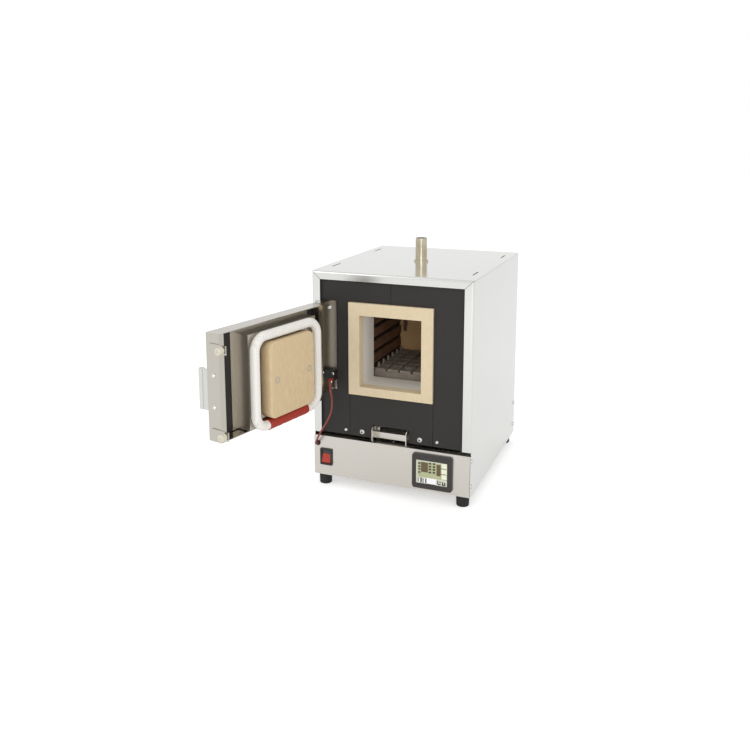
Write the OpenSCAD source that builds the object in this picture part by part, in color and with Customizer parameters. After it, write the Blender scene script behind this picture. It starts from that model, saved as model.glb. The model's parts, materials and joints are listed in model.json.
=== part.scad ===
// Bench-top jewellery kiln with a side-hinged door, drawn in millimetres.
// Z is up, the door side faces -Y, the floor under the feet is z = 0.

/* [Case] */
// Case width across the side panels
case_w = 300; // [296:1:312]
// Case depth from front flange to rear panel
case_d = 350; // [346:1:370]
// Case height without the feet
case_h = 385; // [384:1:396]
// Sheet thickness of the stainless panels
sheet = 1.2; // [1:0.1:1.4]
// Width of the front return on each side panel
side_flange = 16; // [14:0.5:17]
// Height of the front return on the top cover
top_flange = 15; // [12:0.5:16]
// Outside radius of the folds
fold_r = 4; // [3:0.5:5]
// Height of the lower control panel
panel_h = 76; // [75:0.5:78]
// Depth of the folded returns behind the front and rear panels
return_d = 16; // [15:0.5:18]
// Length of the slots in the top cover
top_slot_len = 36; // [24:1:44]
// Width of the slots in the top cover
top_slot_w = 3; // [2:0.5:4]
// Clearance between neighbouring panels
panel_gap = 0.3; // [0.2:0.05:0.5]
// Rubber foot diameter
foot_d = 24; // [20:1:25]
// Rubber foot height
foot_h = 20; // [15:1:24]
// Distance of a foot centre from the side of the case
foot_inset = 14; // [13.5:0.5:18]
// Rear vent slot length
vent_len = 46; // [36:1:52]
// Rear vent slot height
vent_h = 4; // [3:0.5:5]

/* [Front plates] */
// Depth of the black plates behind the flange plane
plate_recess = 5; // [4.5:0.5:6]
// Thickness of the black plates
plate_t = 1.5; // [1:0.25:2]
// Gap at the seams between the plates
plate_seam = 0.6; // [0.4:0.1:1]

/* [Chamber] */
// Width of the fibre frame round the throat
frame_w = 158; // [152:1:162]
// Height of the fibre frame round the throat
frame_h = 169; // [165:1:170]
// Depth of the fibre frame
frame_d = 20; // [18:1:24]
// Clear width of the throat
throat_w = 116; // [114:0.5:120]
// Clear height of the throat
throat_h = 131; // [128:1:133]
// Height of the throat centre above the case bottom
throat_z = 243.5; // [243:0.5:245]
// Depth of the white throat liner
throat_d = 50; // [40:1:60]
// Clear width of the chamber
chamber_w = 130; // [126:1:132]
// Clear height of the chamber
chamber_h = 144; // [140:1:146]
// Clear depth of the chamber
chamber_d = 170; // [160:5:180]
// Wall thickness of the hot-face boards
board_t = 22; // [18:1:24]
// Heating element rod diameter
rod_d = 5; // [4:0.5:6]
// Depth of the grooves that hold the rods
groove_d = 8; // [7:0.5:10]
// Vertical spacing of the rods
rod_pitch = 25; // [22:1:26]
// Side of one pad on the floor grid
pad_side = 21; // [18:0.5:22]
// Spacing of the floor grid pads
pad_pitch = 25; // [23.5:0.25:25]
// Height of the floor grid plinth under the pads
grid_h = 15; // [12:0.5:17]
// Thermocouple sheath diameter
probe_d = 6; // [5:0.5:8]
// Length of thermocouple sheath inside the chamber
probe_len = 84; // [60:2:100]

/* [Flue and air inlet] */
// Outside diameter of the flue pipe
flue_d = 22; // [18:0.5:25]
// Wall of the flue pipe
flue_wall = 1.5; // [1:0.25:2]
// Height of the flue pipe above the top cover
flue_h = 45; // [35:1:60]
// Outside diameter of the flue collar
collar_d = 27; // [26.6:0.2:32]
// Travel of the air-inlet damper
damper_travel = 25; // [20:1:25]
// Width between the outer faces of the damper grip
damper_w = 66; // [62:1:68]
// Height of the grip ears
damper_h = 28; // [24:1:30]
// Thickness of the damper sheet
damper_t = 1.6; // [1.2:0.1:2]

/* [Controls] */
// Width of the rocker switch bezel
rocker_w = 24.5; // [22:0.5:27]
// Height of the rocker switch bezel
rocker_h = 32; // [29:0.5:35]
// Tilt of the rocker to either side in degrees
rocker_tilt = 8; // [6:0.5:9]
// Width of the controller bezel
ctrl_w = 74; // [70:1:78]
// Height of the controller bezel
ctrl_h = 64; // [60:1:66]
// Width of the display window
lcd_w = 57.6; // [54:0.2:60]
// Height of the display window
lcd_h = 43.2; // [40:0.2:45]
// Depth of the controller housing behind the panel
ctrl_d = 58; // [45:1:70]

/* [Electronics] */
// Width of the relay heatsink
sink_w = 80; // [70:1:90]
// Length of the relay heatsink
sink_len = 96; // [80:1:110]
// Height of the relay heatsink
sink_h = 26; // [20:1:28]
// Width of the solid-state relay
relay_w = 44; // [40:1:46]
// Length of the solid-state relay
relay_len = 58; // [54:1:62]

/* [Door] */
// Distance of the hinge axis from the left side of the case
hinge_in = 30; // [29:0.5:32]
// Height of the door tray
door_h = 170; // [168:1:172]
// Depth of the door tray
door_t = 26; // [24:0.5:28]
// Width of the inward lip on the free edge
door_lip = 11; // [8:0.5:14]
// Distance of the lip face from the hinge axis, towards the case
lip_n = 18; // [16:0.5:19]
// Distance of the liner face from the hinge axis, towards the case
liner_n = 23; // [22:0.5:25]
// Distance of the hinge end of the tray from the hinge axis
door_u0 = 10; // [9.5:0.5:12]
// Distance of the free edge of the door from the side of the case
free_in = 10; // [8:0.5:14]
// Opening angle of the free-standing pose in degrees
door_rest = 102.5; // [98:0.5:108]
// Further opening beyond the free-standing pose in degrees
door_more = 10; // [5:1:14]
// Hinge bolt shank diameter
bolt_d = 6; // [5:0.5:6.5]
// Radial running clearance on pivots
run_clear = 0.05; // [0.03:0.01:0.08]
// Outside width of the gasket loop
gasket_w = 168; // [164:1:170]
// Outside height of the gasket loop
gasket_h = 160; // [158:1:162]
// Diameter of the gasket rope
rope_d = 14; // [12:0.5:15]
// Outside corner radius of the gasket loop
gasket_r = 30; // [28:1:36]
// Length of the red sleeve on the gasket
sleeve_len = 96; // [60:1:98]
// Wall of the red sleeve
sleeve_t = 0.8; // [0.6:0.1:1]
// Side clearance between plug and throat
plug_clear = 3; // [2.8:0.1:4]
// How far the plug enters the throat when shut
plug_in = 5; // [3:0.5:5.5]
// Handle height
handle_h = 65; // [56:1:72]
// How far the handle stands beyond the door skin
handle_out = 19; // [14:0.5:22]
// Catch post diameter
post_d = 12; // [10:0.5:13]
// Catch post length
post_len = 11.4; // [9:0.2:12]

/* [Fasteners] */
// Shank of the small front plate screws
screw_d = 3; // [2.5:0.5:3.5]
// Shank of the duct screws
button_d = 5; // [4:0.5:5.5]
// Shank of the side panel screws
side_screw_d = 4; // [3:0.5:4.5]
// Radial clearance of fixed fasteners in their holes
fit = 0.1; // [0.06:0.01:0.15]

/* [Door switch] */
// Width of the door switch body
sw_w = 26; // [25:0.5:26]
// Height of the door switch body
sw_h = 11; // [10:0.5:12]
// Depth of the door switch body
sw_d = 12; // [10:0.5:13]
// Diameter of the switch plunger
plunger_d = 4; // [3:0.25:5]
// Travel of the switch plunger
plunger_travel = 2; // [1.5:0.1:2.5]
// Diameter of the red door switch lead
lead_d = 3.2; // [2.8:0.1:3.6]

/* [Hidden] */
$fn = 48;
hw = case_w / 2;
z0 = foot_h;
z1 = z0 + case_h;
in_x = hw - sheet;
ctrl_top = z0 + panel_h;
up_z = ctrl_top + 7;
open_z = z0 + throat_z;
frame_z = open_z + 3.5;
duct_z = z0 + 87;
plate_y = plate_recess;
plate_top = z1 - sheet - 1;
ins_y = 24;
ch_y0 = frame_d + throat_d;
ch_y1 = ch_y0 + chamber_d;
ch_z = open_z - 0.5;
ch_z0 = ch_z - chamber_h / 2;
ch_z1 = ch_z + chamber_h / 2;
ch_x = chamber_w / 2;
box_x = ch_x + board_t;
box_z0 = ch_z0 - board_t;
box_z1 = ch_z1 + board_t;
box_y1 = ch_y1 + board_t;
flue_y = case_d / 2 - 5;
grid_len = 5 * pad_pitch + pad_side;
grid_y0 = ch_y0 + (chamber_d - grid_len) / 2;
riser_y = grid_y0 + 13;
div_z = up_z + 2;
hinge_x = -hw + hinge_in;
skin_n = lip_n - door_t;
rope_n = liner_n + rope_d / 2 + sleeve_t + 0.1;
seat_n = rope_n + rope_d / 2 + sleeve_t + 0.3;
hinge_y = -seat_n;
door_u1 = case_w - hinge_in - free_in;
door_z0 = open_z + 6.5 - door_h / 2;
door_z1 = open_z + 6.5 + door_h / 2;
mid_u = -hinge_x;
handle_z = door_z0 + 79;
plug_n = seat_n + plug_in;
plug_hw = throat_w / 2 - plug_clear;
plug_hh = throat_h / 2 - plug_clear;
lug_t = 2.5;
brk_t = 2.5;
brk_y = plate_y;
brk_z0 = door_z0 + lug_t + 0.3;
brk_z1 = door_z1 - lug_t - 0.3;
post_n = lip_n + 10;
post_u = door_u1 + 2.2;
post_z1 = door_z1 - 22.5;
post_z0 = door_z0 + 14;
flange_n = lip_n - 13;
grip_u = door_u1 - 14;
sink_y = 178;
rocker_x = -hw + 25.25;
rocker_z = z0 + 36;
ctrl_x = 81;
ctrl_z = z0 + 38.2;
lcd_x = ctrl_x - 0.8;
lcd_z = ctrl_z - 1.2;
small_x = 87;
button_x = 55;
screw_z = z0 + 92;
sw_x = hinge_x + 4;
sw_z = door_z0 + 35;
sw_y = brk_y - brk_t;
plunger_x = sw_x + 9;
plunger_z = sw_z - sw_h / 2 - 4;
lead_x = -hw + 8;
lead_z = z0 + 61;
lead_r = lead_d / 2;
ds = sin(door_rest);
dc = cos(door_rest);
far_x = hinge_x + dc * (door_u1 - 0.5) + ds * (skin_n - handle_out);
far_y = hinge_y - ds * (post_u + post_len) + dc * (post_n + post_d / 2);
near_y = case_d + 4;
frame_dx = -(far_x + hw + 2.1) / 2;
frame_dy = -(far_y + near_y) / 2;

module case_place() {
  translate([frame_dx, frame_dy, 0]) children();
}

module door_place() {
  case_place() translate([hinge_x, hinge_y, 0]) rotate([0, 0, -door_rest]) children();
}

module box(x0, x1, y0, y1, za, zb) {
  translate([x0, y0, za]) cube([x1 - x0, y1 - y0, zb - za]);
}

module rod_y(x, z, d, y0, y1) {
  translate([x, y0, z]) rotate([-90, 0, 0]) cylinder(d = d, h = y1 - y0);
}

module rod_x(y, z, d, x0, x1) {
  translate([x0, y, z]) rotate([0, 90, 0]) cylinder(d = d, h = x1 - x0);
}

module rod_z(x, y, d, za, zb) {
  translate([x, y, za]) cylinder(d = d, h = zb - za);
}

// Round slot in the XZ plane, cut along Y
module slot_y(x, z, len, w, y0, y1) {
  r = w / 2;
  rod_y(x - len / 2 + r, z, w, y0, y1);
  rod_y(x + len / 2 - r, z, w, y0, y1);
  box(x - len / 2 + r, x + len / 2 - r, y0, y1, z - r, z + r);
}

// Pan-head screw along +Y with its head on the plane y = yh, shank going back
module screw_y(x, z, d, head_d, head_t, yh, len) {
  translate([x, yh, z]) rotate([90, 0, 0]) rotate_extrude()
    polygon([[0, 0], [head_d / 2, 0], [head_d / 2, head_t * 0.45],
             [head_d * 0.34, head_t], [0, head_t]]);
  rod_y(x, z, d, yh, yh + len);
}

module rounded(w, h, r) {
  offset(r = r) square([w - 2 * r, h - 2 * r], center = true);
}

// Upright rounded plate, centre at x and z, between two y planes
module pad_y(x, z, w, h, r, y0, y1) {
  translate([x, y1, z]) rotate([90, 0, 0]) linear_extrude(y1 - y0)
    union() {
      square([w - 2 * r, h], center = true);
      square([w, h - 2 * r], center = true);
      for (i = [-1, 1]) {
        for (j = [-1, 1]) {
          translate([i * (w / 2 - r), j * (h / 2 - r)]) circle(r = r);
        }
      }
    }
}

// Sheet profile with one rounded fold: the web runs back, the flange runs down
module fold_profile(back, down) {
  difference() {
    union() {
      translate([fold_r, -sheet]) square([back - fold_r, sheet]);
      translate([0, -down]) square([sheet, down - fold_r]);
      intersection() {
        translate([fold_r, -fold_r]) circle(r = fold_r);
        translate([0, -fold_r]) square([fold_r, fold_r]);
      }
    }
    translate([fold_r, -fold_r]) circle(r = fold_r - sheet);
  }
}

module top_cover() {
  color("silver") case_place() difference() {
    translate([-hw, 0, z1]) rotate([90, 0, 90]) linear_extrude(case_w)
      fold_profile(case_d, top_flange);
    for (s = [-1, 1]) {
      translate([s * hw, -1, z1]) mirror([s < 0 ? 1 : 0, 0, 0]) rotate([-90, 0, 0])
        linear_extrude(2.2 + fold_r)
          polygon([[-0.5, 0], [1, 0], [1, top_flange + 1],
                   [-side_flange - 0.5, top_flange + 1], [-side_flange - 0.5, top_flange]]);
    }
    for (x = [-133, 133]) {
      for (y = [71, case_d - 67]) {
        hull() {
          rod_z(x, y - top_slot_len / 2 + top_slot_w / 2, top_slot_w, z1 - 3, z1 + 1);
          rod_z(x, y + top_slot_len / 2 - top_slot_w / 2, top_slot_w, z1 - 3, z1 + 1);
        }
      }
    }
    rod_z(0, flue_y, flue_d + 1, z1 - 3, z1 + 1);
  }
}

module side_body() {
  difference() {
    union() {
      box(in_x, hw, fold_r, case_d, z0, z1 - sheet - panel_gap);
      box(in_x, hw, sheet, fold_r, z0, ctrl_top);
      translate([hw, 0, up_z]) mirror([1, 0, 0]) rotate([0, 0, 0])
        linear_extrude(z1 - sheet - panel_gap - up_z) difference() {
          union() {
            translate([fold_r, 0]) square([side_flange - fold_r, sheet]);
            intersection() {
              translate([fold_r, fold_r]) circle(r = fold_r);
              square([fold_r, fold_r + 0.01]);
            }
          }
          translate([fold_r, fold_r]) circle(r = fold_r - sheet);
        }
    }
    translate([hw, -1, z1]) rotate([-90, 0, 0]) linear_extrude(fold_r + 1)
      polygon([[3, -1], [-side_flange - 3, -1], [-side_flange - 3, top_flange + panel_gap],
               [-side_flange, top_flange + panel_gap], [0, panel_gap], [3, panel_gap]]);
    for (y = [7, case_d - 7]) {
      for (z = [z0 + 19.5, z0 + 66]) {
        rod_x(y, z, side_screw_d + 2 * fit, in_x - 1, hw + 1);
      }
    }
  }
}

module side_panel_right() {
  color("gainsboro") case_place() side_body();
}

module side_panel_left() {
  color("gainsboro") case_place() mirror([1, 0, 0]) side_body();
}

// Folded tray of the control panel and the rear panel
module folded_panel(ya, yb, za, zb, back) {
  side_x = in_x - panel_gap;
  box(-side_x, side_x, ya, yb, za, zb);
  for (s = [-1, 1]) {
    x = s > 0 ? side_x - sheet : -side_x;
    box(x, x + sheet, min(yb, back), max(ya, back), za, zb);
  }
}

module control_panel() {
  color("lightgray") case_place() difference() {
    union() {
      folded_panel(0, sheet, z0 + 0.5, ctrl_top, return_d);
      box(-in_x + panel_gap, in_x - panel_gap, sheet, return_d, ctrl_top - sheet, ctrl_top);
    }
    box(rocker_x - rocker_w / 2 + 1.9, rocker_x + rocker_w / 2 - 1.9, -1, 3,
        rocker_z - rocker_h / 2 + 1.9, rocker_z + rocker_h / 2 - 1.9);
    box(ctrl_x - ctrl_w / 2 + 3, ctrl_x + ctrl_w / 2 - 3, -1, 3,
        ctrl_z - ctrl_h / 2 + 3, ctrl_z + ctrl_h / 2 - 3);
    rod_y(lead_x, lead_z, 7, -1, 3);
    for (s = [-1, 1]) {
      for (z = [z0 + 19.5, z0 + 66]) {
        rod_x(7, z, side_screw_d + 2 * fit, s * in_x - 3, s * in_x + 3);
      }
    }
  }
}

module rear_panel() {
  color("silver") case_place() difference() {
    folded_panel(case_d - sheet, case_d, z0 + 0.5, z1 - sheet - panel_gap, case_d - return_d);
    for (i = [0 : 5]) {
      for (x = [-60, 60]) {
        slot_y(x, z1 - 60 - i * 12, vent_len, vent_h, case_d - 3, case_d + 1);
      }
      slot_y(70, z0 + 12 + i * 10, vent_len, vent_h, case_d - 3, case_d + 1);
    }
    box(-104, -76, case_d - 3, case_d + 1, z0 + 29, z0 + 49);
    for (s = [-1, 1]) {
      for (z = [z0 + 19.5, z0 + 66]) {
        rod_x(case_d - 7, z, side_screw_d + 2 * fit, s * in_x - 3, s * in_x + 3);
      }
    }
  }
}

module base_plate() {
  x = in_x - panel_gap - sheet - 0.3;
  color("silver") case_place() difference() {
    union() {
      box(-x, x, sheet + 0.3, case_d - sheet - 0.3, z0, z0 + sheet);
      for (s = [0, 1]) {
        mirror([s, 0, 0]) box(x - sheet, x, return_d + 2, case_d - return_d - 2, z0, z0 + 14);
      }
    }
    for (i = [-4 : 4]) {
      rod_z(i * 16, 110, vent_h, z0 - 1, z0 + 3);
      rod_z(i * 16, 240, vent_h, z0 - 1, z0 + 3);
      box(i * 16 - vent_h / 2, i * 16 + vent_h / 2, 110, 240, z0 - 1, z0 + 3);
    }
    for (s = [-1, 1]) {
      for (y = [foot_inset, case_d - foot_inset]) {
        rod_z(s * (hw - foot_inset - 3), y, 5 + 2 * fit, z0 - 1, z0 + 3);
      }
    }
  }
}

module divider_plate() {
  color("silver") case_place() difference() {
    box(-in_x + 1, in_x - 1, ins_y + 2, case_d - return_d - 4, div_z, div_z + sheet);
    box(-damper_w / 2 - 2, damper_w / 2 + 2, ins_y - 2, riser_y + 22, div_z - 1, div_z + 3);
    for (s = [-1, 1]) {
      box(s * 120 - 8, s * 120 + 8, case_d - 60, case_d - 40, div_z - 1, div_z + 3);
    }
  }
}

module plate_holes() {
  for (s = [-1, 1]) {
    rod_y(s * small_x, screw_z, screw_d + 2 * fit, plate_y - 1, plate_y + plate_t + 1);
    rod_y(s * button_x, screw_z, button_d + 2 * fit, plate_y - 1, plate_y + plate_t + 1);
  }
}

// Right-hand upright plate: everything from the seam to the side panel
module plate_side() {
  y1 = plate_y + plate_t;
  lip_x = frame_w / 2 + plate_seam / 2;
  difference() {
    box(plate_seam / 2, in_x - 1.5, plate_y, y1, up_z, plate_top);
    box(0, lip_x, plate_y - 1, y1 + 1, up_z - 1, frame_z + frame_h / 2 + plate_seam);
    plate_holes();
  }
}

module front_plate_right() {
  color([0.24, 0.23, 0.22]) case_place() plate_side();
}

module front_plate_left() {
  color([0.24, 0.23, 0.22]) case_place() difference() {
    mirror([1, 0, 0]) plate_side();
    for (z = bracket_zs()) {
      rod_y(hinge_x + 3.5, z, 4 + 2 * fit, plate_y - 1, plate_y + plate_t + 1);
    }
  }
}

module front_plate_lower() {
  color([0.24, 0.23, 0.22]) case_place() difference() {
    box(-frame_w / 2 + plate_seam / 2, frame_w / 2 - plate_seam / 2, plate_y,
        plate_y + plate_t, up_z, frame_z - frame_h / 2 - plate_seam);
    box(-damper_w / 2 - 1.5, damper_w / 2 + 1.5, plate_y - 1, plate_y + plate_t + 1,
        up_z - 1, duct_z + damper_h / 2 + 6);
    plate_holes();
  }
}

module chamber_frame() {
  color([0.88, 0.79, 0.62]) case_place() difference() {
    box(-frame_w / 2, frame_w / 2, 0, frame_d - 0.2, frame_z - frame_h / 2, frame_z + frame_h / 2);
    box(-throat_w / 2, throat_w / 2, -1, frame_d + 1, open_z - throat_h / 2, open_z + throat_h / 2);
  }
}

module throat_liner() {
  color([0.92, 0.9, 0.86]) case_place() difference() {
    box(-frame_w / 2, frame_w / 2, frame_d, ch_y0 - 0.2, frame_z - frame_h / 2, frame_z + frame_h / 2);
    box(-throat_w / 2, throat_w / 2, frame_d - 1, ch_y0 + 1, open_z - throat_h / 2, open_z + throat_h / 2);
  }
}

module chamber_floor() {
  color([0.45, 0.36, 0.28]) case_place() difference() {
    box(-ch_x, ch_x, ch_y0, ch_y1 - 0.2, box_z0, ch_z0);
    rod_z(0, riser_y, 17, box_z0 - 1, ch_z0 + 1);
  }
}

module chamber_roof() {
  color([0.5, 0.4, 0.3]) case_place() difference() {
    box(-ch_x, ch_x, ch_y0, ch_y1 - 0.2, ch_z1, box_z1);
    rod_z(0, flue_y, flue_d + 1, ch_z1 - 1, box_z1 + 1);
    rod_z(-ch_x + 14, ch_y1 - 16, probe_d + 1, ch_z1 - 1, box_z1 + 1);
  }
}

module chamber_wall() {
  difference() {
    box(ch_x + 0.2, box_x, ch_y0, ch_y1 - 0.2, box_z0, box_z1);
    for (i = [-2 : 2]) {
      z = ch_z + i * rod_pitch;
      box(ch_x, ch_x + groove_d, ch_y0 + 4, ch_y1, z - rod_d / 2 - 1.5, z + rod_d / 2 + 1.5);
    }
  }
}

module chamber_wall_right() {
  color([0.42, 0.33, 0.25]) case_place() chamber_wall();
}

module chamber_wall_left() {
  color([0.42, 0.33, 0.25]) case_place() mirror([1, 0, 0]) chamber_wall();
}

module chamber_wall_rear() {
  color([0.5, 0.4, 0.3]) case_place() difference() {
    box(-box_x, box_x, ch_y1, box_y1, box_z0, box_z1);
    for (s = [-1, 1]) {
      for (i = [-2 : 2]) {
        rod_y(s * rod_x0(), ch_z + i * rod_pitch, rod_d + 0.4, ch_y1 - 1, box_y1 + 1);
      }
    }
  }
}

function rod_x0() = ch_x + groove_d - rod_d / 2 - 1;
function bracket_zs() = [brk_z0 + 13, brk_z1 - 13];

// Backing boards packed round the hot-face box: six separate slabs
module insulation_boards() {
  g = 0.3;
  x1 = in_x - 1;
  back_y = case_d - return_d - 3;
  low_z = div_z + sheet + g;
  high_z = z1 - sheet - 1;
  color([0.93, 0.92, 0.89]) case_place() {
    difference() {
      box(-x1, x1, ins_y, back_y, low_z, box_z0 - g);
      box(-damper_w / 2 - 2, damper_w / 2 + 2, ins_y - 1, riser_y + 22, low_z - 1, duct_z + 16);
      rod_z(0, riser_y, 17, low_z, box_z0 + 1);
      box(-frame_w / 2 - g, frame_w / 2 + g, ins_y - 1, ch_y0, frame_z - frame_h / 2 - g, box_z0 + 1);
    }
    difference() {
      box(-x1, x1, ins_y, back_y, box_z1 + g, high_z);
      rod_z(0, flue_y, flue_d + 1, box_z1, high_z + 1);
      rod_z(-ch_x + 14, ch_y1 - 16, probe_d + 12, box_z1, box_z1 + 26);
      box(-frame_w / 2 - g, frame_w / 2 + g, ins_y - 1, ch_y0, box_z1 - 1, frame_z + frame_h / 2 + g);
    }
    for (s = [0, 1]) {
      mirror([s, 0, 0]) difference() {
        box(frame_w / 2 + g, x1, ins_y, box_y1 + 1, box_z0, box_z1);
        box(frame_w / 2, box_x + g, ch_y0 - g, box_y1 + 2, box_z0 - 1, box_z1 + 1);
      }
    }
    difference() {
      box(-x1, x1, box_y1 + 2, back_y, box_z0, box_z1);
      for (s = [-1, 1]) {
        box(s * rod_x0() - 16, s * rod_x0() + 16, box_y1 + 1, back_y + 1, box_z0 + 20, box_z1 - 20);
      }
    }
  }
}

module element_side() {
  for (i = [-2 : 2]) {
    rod_y(rod_x0(), ch_z + i * rod_pitch, rod_d, ch_y0 + 6, box_y1 + 20);
  }
}

module element_rods_right() {
  color([0.28, 0.26, 0.25]) case_place() element_side();
}

module element_rods_left() {
  color([0.28, 0.26, 0.25]) case_place() mirror([1, 0, 0]) element_side();
}

// Brass clamps that join neighbouring rod ends behind the hot box
module element_clamps() {
  color([0.72, 0.6, 0.3]) case_place() for (s = [0, 1]) {
    mirror([s, 0, 0]) for (i = [-2, 0, 2]) {
      z = ch_z + i * rod_pitch;
      zb = i < 2 ? z + rod_pitch + 6 : z + 6;
      difference() {
        box(rod_x0() - 6, rod_x0() + 6, box_y1 + 8, box_y1 + 18, z - 6, zb);
        rod_y(rod_x0(), z, rod_d + 2 * fit, box_y1 + 7, box_y1 + 19);
        rod_y(rod_x0(), z + rod_pitch, rod_d + 2 * fit, box_y1 + 7, box_y1 + 19);
      }
    }
  }
}

module floor_grid() {
  gx = 2 * pad_pitch + pad_side / 2 + 1;
  gy = grid_len;
  ga = grid_y0;
  color([0.32, 0.29, 0.27]) case_place() {
    difference() {
      union() {
        box(-gx, gx, ga - 1, ga + gy + 1, ch_z0 + 0.2, ch_z0 + grid_h);
        for (i = [-2 : 2]) {
          for (j = [0 : 5]) {
            px = i * pad_pitch - pad_side / 2;
            py = ga + j * pad_pitch;
            translate([px, py, ch_z0 + grid_h - 1]) cube([pad_side, pad_side, 6]);
          }
        }
        for (j = [0 : 5]) {
          rod_z(-2 * pad_pitch - 7, ga + j * pad_pitch + pad_side / 2, 4, ch_z0 + grid_h,
                ch_z0 + grid_h + 14);
        }
      }
      rod_z(0, riser_y, 13, ch_z0 - 1, ch_z0 + grid_h + 6);
    }
  }
}

module thermocouple() {
  x = -ch_x + 14;
  y = ch_y1 - 16;
  color([0.92, 0.9, 0.84]) case_place() {
    rod_z(x, y, probe_d, ch_z1 - probe_len, box_z1 + 4);
    rod_z(x, y, probe_d + 10, box_z1 + 1, box_z1 + 16);
  }
}

module flue_pipe() {
  color([0.72, 0.68, 0.6]) case_place() difference() {
    rod_z(0, flue_y, flue_d, ch_z1, z1 + flue_h);
    rod_z(0, flue_y, flue_d - 2 * flue_wall, ch_z1 - 1, z1 + flue_h + 1);
  }
}

module flue_collar() {
  color("silver") case_place() difference() {
    rod_z(0, flue_y, collar_d, z1, z1 + 3);
    rod_z(0, flue_y, flue_d + 2 * fit, z1 - 1, z1 + 4);
  }
}

module air_damper() {
  ex = damper_w / 2;
  color([0.8, 0.79, 0.76]) case_place() {
    for (s = [0, 1]) {
      mirror([s, 0, 0]) translate([ex, 0, duct_z + 4.2]) rotate([0, -90, 0])
        linear_extrude(damper_t) polygon([[-damper_h / 2 + 4, -4], [damper_h / 2 - 4, -4],
          [damper_h / 2, 0], [damper_h / 2, 15.5], [-damper_h / 2 + 6.5, 15.5],
          [-damper_h / 2 + 6.5, 4.5], [-damper_h / 2, 4.5], [-damper_h / 2, 0]]);
    }
    box(-ex, ex, 14, 15.5, duct_z - 5.5, duct_z + 5.5);
    box(-24, 24, 15, riser_y + 9, duct_z - 0.6, duct_z + 0.6);
  }
}

module air_duct() {
  x = 27;
  color([0.78, 0.78, 0.76]) case_place() difference() {
    union() {
      box(-x, x, ins_y - 5, riser_y + 18, duct_z - 5, duct_z + 5);
      rod_z(0, riser_y, 16, duct_z + 4, ch_z0 - 0.2);
      for (s = [0, 1]) {
        mirror([s, 0, 0]) box(x - 1, button_x + 8, ins_y - 5, ins_y - 3.5, duct_z - 3, screw_z + 8);
      }
    }
    box(-x + 1, x - 1, ins_y - 6, riser_y + 17, duct_z - 4, duct_z + 4);
    rod_z(0, riser_y, 14, duct_z, ch_z0 + 1);
    for (s = [-1, 1]) {
      rod_y(s * button_x, screw_z, button_d + 2 * fit, ins_y - 6, ins_y - 2);
    }
  }
}

module front_plate_screws() {
  color([0.75, 0.75, 0.75]) case_place() for (s = [-1, 1]) {
    screw_y(s * small_x, screw_z, screw_d, 6, 2, plate_y, 8);
  }
}

module duct_screws() {
  color([0.8, 0.8, 0.8]) case_place() for (s = [-1, 1]) {
    screw_y(s * button_x, screw_z, button_d, 9.5, 2.6, plate_y, 18);
  }
}

module side_screws() {
  color([0.75, 0.75, 0.75]) case_place() for (s = [0, 1]) {
    mirror([s, 0, 0]) for (y = [7, case_d - 7]) {
      for (z = [z0 + 19.5, z0 + 66]) {
        translate([hw, y, z]) rotate([0, 90, 0]) rotate_extrude()
          polygon([[0, 0], [3.8, 0], [3.8, 0.9], [2.6, 2.1], [0, 2.1]]);
        rod_x(y, z, side_screw_d, hw - 8, hw);
      }
    }
  }
}

module switch_bezel() {
  color([0.1, 0.1, 0.1]) case_place() difference() {
    union() {
      pad_y(rocker_x, rocker_z, rocker_w, rocker_h, 2, -2.2, 0);
      box(rocker_x - rocker_w / 2 + 2.1, rocker_x + rocker_w / 2 - 2.1, -1, 22,
          rocker_z - rocker_h / 2 + 2.1, rocker_z + rocker_h / 2 - 2.1);
      for (i = [-1 : 1]) {
        box(rocker_x - 3, rocker_x + 3, 21, 31, rocker_z + i * 8 - 0.5, rocker_z + i * 8 + 0.5);
      }
    }
    box(rocker_x - rocker_w / 2 + 3.6, rocker_x + rocker_w / 2 - 3.6, -3, 16,
        rocker_z - rocker_h / 2 + 3.2, rocker_z + rocker_h / 2 - 3.2);
    rod_x(4, rocker_z, 3 + 2 * run_clear, rocker_x - rocker_w / 2 + 2.6, rocker_x + rocker_w / 2 - 2.6);
  }
}

// The rocker is drawn pressed in at the top, as it stands in the off position
module power_rocker() {
  w = rocker_w - 8;
  h = rocker_h - 8.6;
  color([0.75, 0.15, 0.1]) case_place() union() {
    translate([rocker_x, 4, rocker_z]) rotate([-rocker_tilt, 0, 0]) union() {
      translate([-w / 2, 0, 0]) rotate([90, 0, 90]) linear_extrude(w)
        polygon([[-5.6, -h / 2], [-4.4, 0], [-5.6, h / 2], [0, h / 2 - 1.5], [4.5, 4],
                 [4.5, -4], [0, -h / 2 + 1.5]]);
      rod_x(0, 0, 3, -rocker_w / 2 + 3, rocker_w / 2 - 3);
    }
  }
}

module controller_bezel() {
  color([0.09, 0.09, 0.09]) case_place() difference() {
    pad_y(ctrl_x, ctrl_z, ctrl_w, ctrl_h, 5, -4, 0);
    box(lcd_x - lcd_w / 2, lcd_x + lcd_w / 2, -5, 1, lcd_z - lcd_h / 2, lcd_z + lcd_h / 2);
  }
}

module controller_screen() {
  color([0.75, 0.82, 0.75]) case_place()
    box(lcd_x - lcd_w / 2 + 0.2, lcd_x + lcd_w / 2 - 0.2, -2.6, 0,
        lcd_z - lcd_h / 2 + 0.2, lcd_z + lcd_h / 2 - 0.2);
}

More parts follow.
